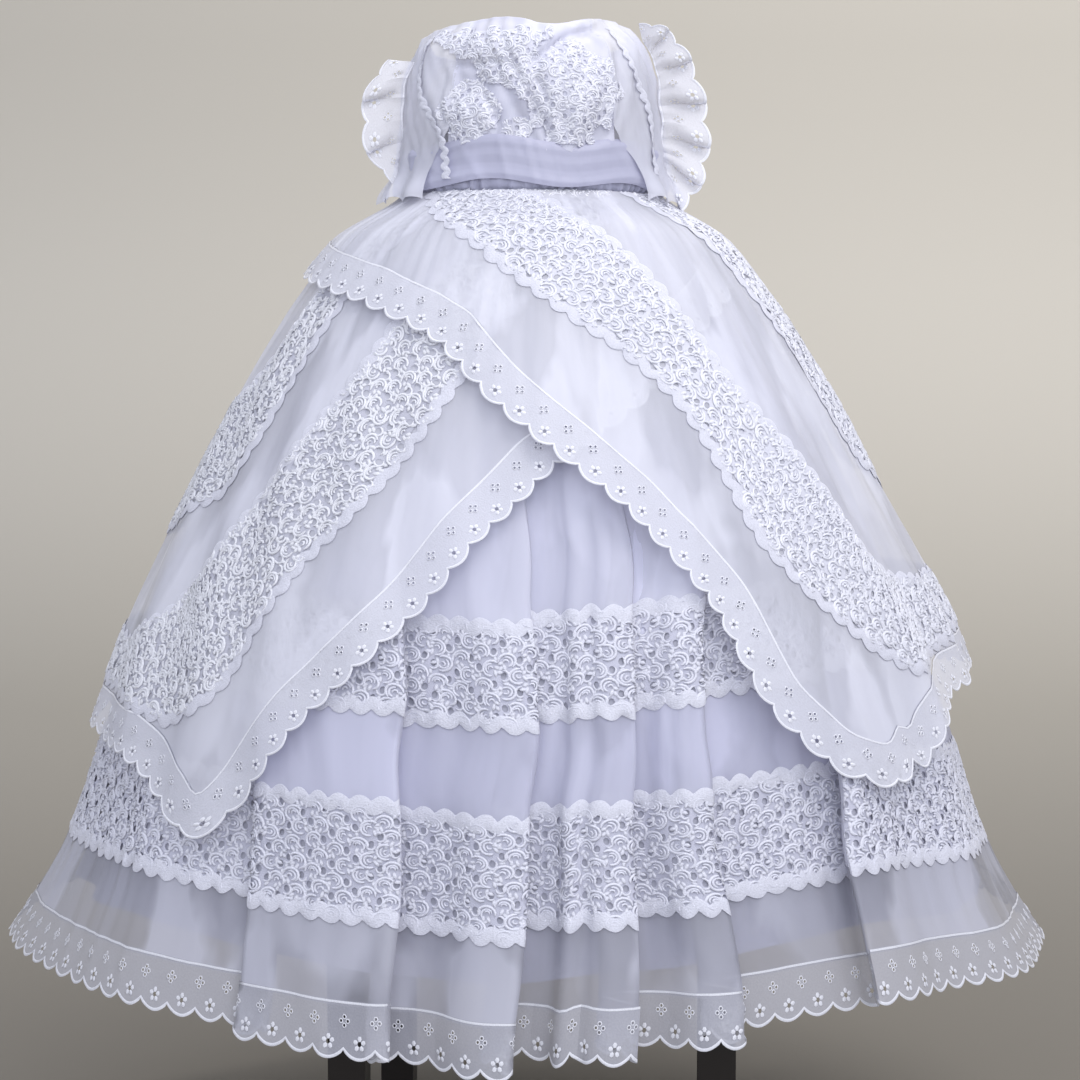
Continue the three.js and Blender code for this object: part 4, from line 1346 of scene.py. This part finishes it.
def frill_place(side):
    """A frill's length and mean width as cut, and its ground: distance along, height over its scallops."""
    angle, lobes, deep, rows = FRILLS[side]
    rows = np.array(rows, float)
    spots = np.linspace(0, 1, len(rows))
    root_height, tip_x, tip_z = (softened(np.column_stack([spots, column]), 0.2) for column in rows.T)
    pleat_count = np.ptp(rows[:, 0]) / FRILL_PLEAT_PITCH
    lobe = np.array(FRILL_LOBE, float).T
    fine = np.linspace(-1, 2, 601)
    ahead, toward = (np.interp(fine % 1, lobe[0], values) for values in lobe[1:])
    ahead, toward = (
        np.convolve(values, bell(24, 8), mode="same") for values in (ahead + np.floor(fine), toward))

    def spread(u, t, out):
        away = 1 - t / EYELET_HEIGHT
        grown = smoothstep(away, 0, 0.6)
        before = np.floor(u * lobes)
        within = u * lobes - before
        shifted = np.clip((before + np.interp(within, fine, ahead)) / lobes, 0, 1)
        v = u + (shifted - u) * grown
        x, y, z = np.moveaxis(sash(angle, root_height(u), 1.5), -1, 0)
        x, z = x + (tip_x(v) - x) * away, z + (tip_z(v) - z) * away
        y = y - deep * np.interp(within, fine, toward) * grown - 5 * away - out
        pleats = 1 + np.sin(TURN * (pleat_count * u + 0.04 * np.sin(31 * u)))
        y = y - FRILL_PLEAT * pleats * smoothstep(away, 0.75, 0.1)
        return np.stack(np.broadcast_arrays(x, y, z), axis=-1)

    length = walked(spread(np.linspace(0, 1, 600), FRILL_EDGE, 0.0))[-1]
    across = spread(np.linspace(0, 1, 60)[:, None], np.linspace(0, EYELET_HEIGHT, 12), 0.0)
    return length, grid_size(across)[1], lambda s, t, out: (spread(np.clip(s / length, 0, 1), t, out), s, t)


def build_frill(side):
    length, width, place = frill_place(side)
    cloth, stitching = eyelet_pieces(f"sash_{side}_frill", place, length)
    declare(
        cloth, (length, width), "gathered", [f"sash_{side}_lappet_cloth"], [stitching],
        flat_area(cloth) * width / EYELET_HEIGHT)


def build_sash_braid(side):
    rows, node = sorted(SASH_BRAIDS[side]), f"sash_{side}_ric_rac"
    angle_at = softened(rows, 12)
    low, high = rows[0][0] - 2, rows[-1][0] + 2
    length = (high - low) * BRAID_SLACK

    def place(s, t, out):
        height = low + (high - low) * s / length
        angle = angle_at(height) + np.degrees(t / BRAID_RADIUS)
        return sash(angle, height, BRAID_LIFT + lappet_drape(height) + out), s, height

    points, faces = ric_rac_tile(*RIC_RAC_WAVES[0])
    tile = (points * BRAID_SIZE, faces[:, ::-1])
    points, faces, flat = tiled(place, [tile], length, RIC_RAC_PITCH * BRAID_SIZE[0])
    make_piece(node + "_trim", points, faces, "ric_rac_weave", flat, node)


build_waistband()
build_sash_band()
for name, node, *rest in (
    ("sash_left_lappet_cloth", "sash_left_lappet", (-86, -35.5), "lappet_organza", LAPPET_LOW, -10),
    ("sash_right_lappet_cloth", "sash_right_lappet", (35.5, 86), "lappet_organza", LAPPET_LOW - 4, 14),
    ("sash_back_cloth", "sash_back", (84, 276), "sash_organza"),
    ("sash_front_cloth", "sash_lace_front", (-37, 37), "sash_organza"),
):
    sash_sheet(name, node, *rest)
build_sash_lace()
for side in ("left", "right"):
    build_frill(side)
    build_sash_braid(side)

# ---------------------------------------------------------------- the stage

# The backdrop runs from the dark floor colour to the pale wall one: painted shade, darkest on the floor and
# lifting up the wall.
SHADED_FLOOR_COLOUR, WALL_COLOUR = (0.195, 0.178, 0.152), (0.55, 0.52, 0.465)
STAGE_HALF, WALL, WALL_TOP, SWEEP = 8.0, 5.4, 7.0, 2.0
CAMERA, CAMERA_DOWN, LENS = (0.009, -2.4, 0.87), 4.3, 74.07
# the painted shade of the backdrop fades out between these two angles
PALE_FROM = (-17.5, 3.1)       # degrees up from the camera's place, where the paleness starts and ends
LAMPS = [                      # name, size, power, place, what it faces, colour
    ("ceiling", (1.6, 1.2), 25, (0.9, -1.3, 2.8), (0, 0, 0.8), (1.0, 0.97, 0.93)),
    ("front", (2.0, 1.5), 26, (0.3, -3.0, 1.5), (0, 0, 0.8), (0.9, 0.94, 1.0)),
    ("wall", (6.0, 1.2), 155, (2.4, 2.6, 4.9), (0.6, 5.4, 1.9), (1.0, 0.96, 0.9)),
]
SKY, SKY_STRENGTH = (0.86, 0.90, 1.0, 1), 0.9


def dress_stand():
    for name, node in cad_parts.items():
        if name.startswith("stand_") or name == "form":
            node.data.materials.clear()
            node.data.materials.append(MATERIALS["form_cloth" if name == "form" else "stand_wood"])


def backdrop():
    """A floor and wall with painted shade, dark on the floor and paler toward the top of the wall."""
    made = MATERIALS["floor"]
    uv = add_node(made, "TexCoord", {}, "UV")
    row = add_node(made, "SeparateXYZ", {"Vector": uv}, "Y")
    rise = add_node(made, "MapRange", {"Value": row}, "Result", interpolation_type="SMOOTHSTEP")
    tint = blended(made, rise, SHADED_FLOOR_COLOUR, WALL_COLOUR)
    feed(made, made.node_tree.nodes["Principled BSDF"], {"Base Color": tint})
    return made


def stage():
    """Floor, sweep and wall as one profile, wide enough to stand all round the object."""
    bpy.ops.mesh.primitive_plane_add(size=1)
    floor = bpy.context.object
    floor.name = "floor"
    profile = [(y, 0.0) for y in np.arange(-STAGE_HALF, WALL - SWEEP, 0.25)]
    for turn in np.radians(np.linspace(0, 90, 13)):
        profile.append((WALL - SWEEP + SWEEP * math.sin(turn), SWEEP - SWEEP * math.cos(turn)))
    profile.append((WALL, WALL_TOP))
    points = [(x, y, z) for y, z in profile for x in (-STAGE_HALF, STAGE_HALF)]
    faces = [(2 * i, 2 * i + 1, 2 * i + 3, 2 * i + 2) for i in range(len(profile) - 1)]
    mesh = bpy.data.meshes.new("floor")
    mesh.from_pydata(points, [], faces)
    # the paleness of each row, 0 on the floor near the object, 1 on the wall; what falls short of 1 is
    # painted shade
    low, high = PALE_FROM
    rows = [math.degrees(math.atan2(z - CAMERA[2], max(y - CAMERA[1], 0.01))) for y, z in profile]
    paleness = [(row - low) / (high - low) for row in rows]
    layer = mesh.uv_layers.new(name="UVMap")
    for loop in mesh.loops:
        layer.data[loop.index].uv = (0, paleness[loop.vertex_index // 2])
    mesh.polygons.foreach_set("use_smooth", [True] * len(faces))
    mesh.materials.append(backdrop())
    floor.data = mesh


def light(name, size, power, place, target, colour):
    data = bpy.data.lights.new(name, "AREA")
    data.shape = "RECTANGLE"
    data.size, data.size_y = size
    data.energy = power
    data.color = colour
    lamp = bpy.data.objects.new(name, data)
    lamp.location = place
    lamp.rotation_euler = (Vector(target) - Vector(place)).to_track_quat("-Z", "Y").to_euler()
    bpy.context.scene.collection.objects.link(lamp)


def camera():
    data = bpy.data.cameras.new("camera")
    data.sensor_width = 36
    data.lens = LENS
    view = bpy.data.objects.new("camera", data)
    view.location = CAMERA
    view.rotation_euler = (math.radians(90 - CAMERA_DOWN), 0, 0)
    bpy.context.scene.collection.objects.link(view)
    bpy.context.scene.camera = view


def sky():
    world = bpy.data.worlds.new("world")
    world.use_nodes = True
    background = world.node_tree.nodes["Background"]
    background.inputs["Color"].default_value = SKY
    background.inputs["Strength"].default_value = SKY_STRENGTH
    bpy.context.scene.world = world


dress_stand()
stage()
for lamp in LAMPS:
    light(*lamp)
camera()
sky()
bpy.context.scene.view_settings.view_transform = "Standard"
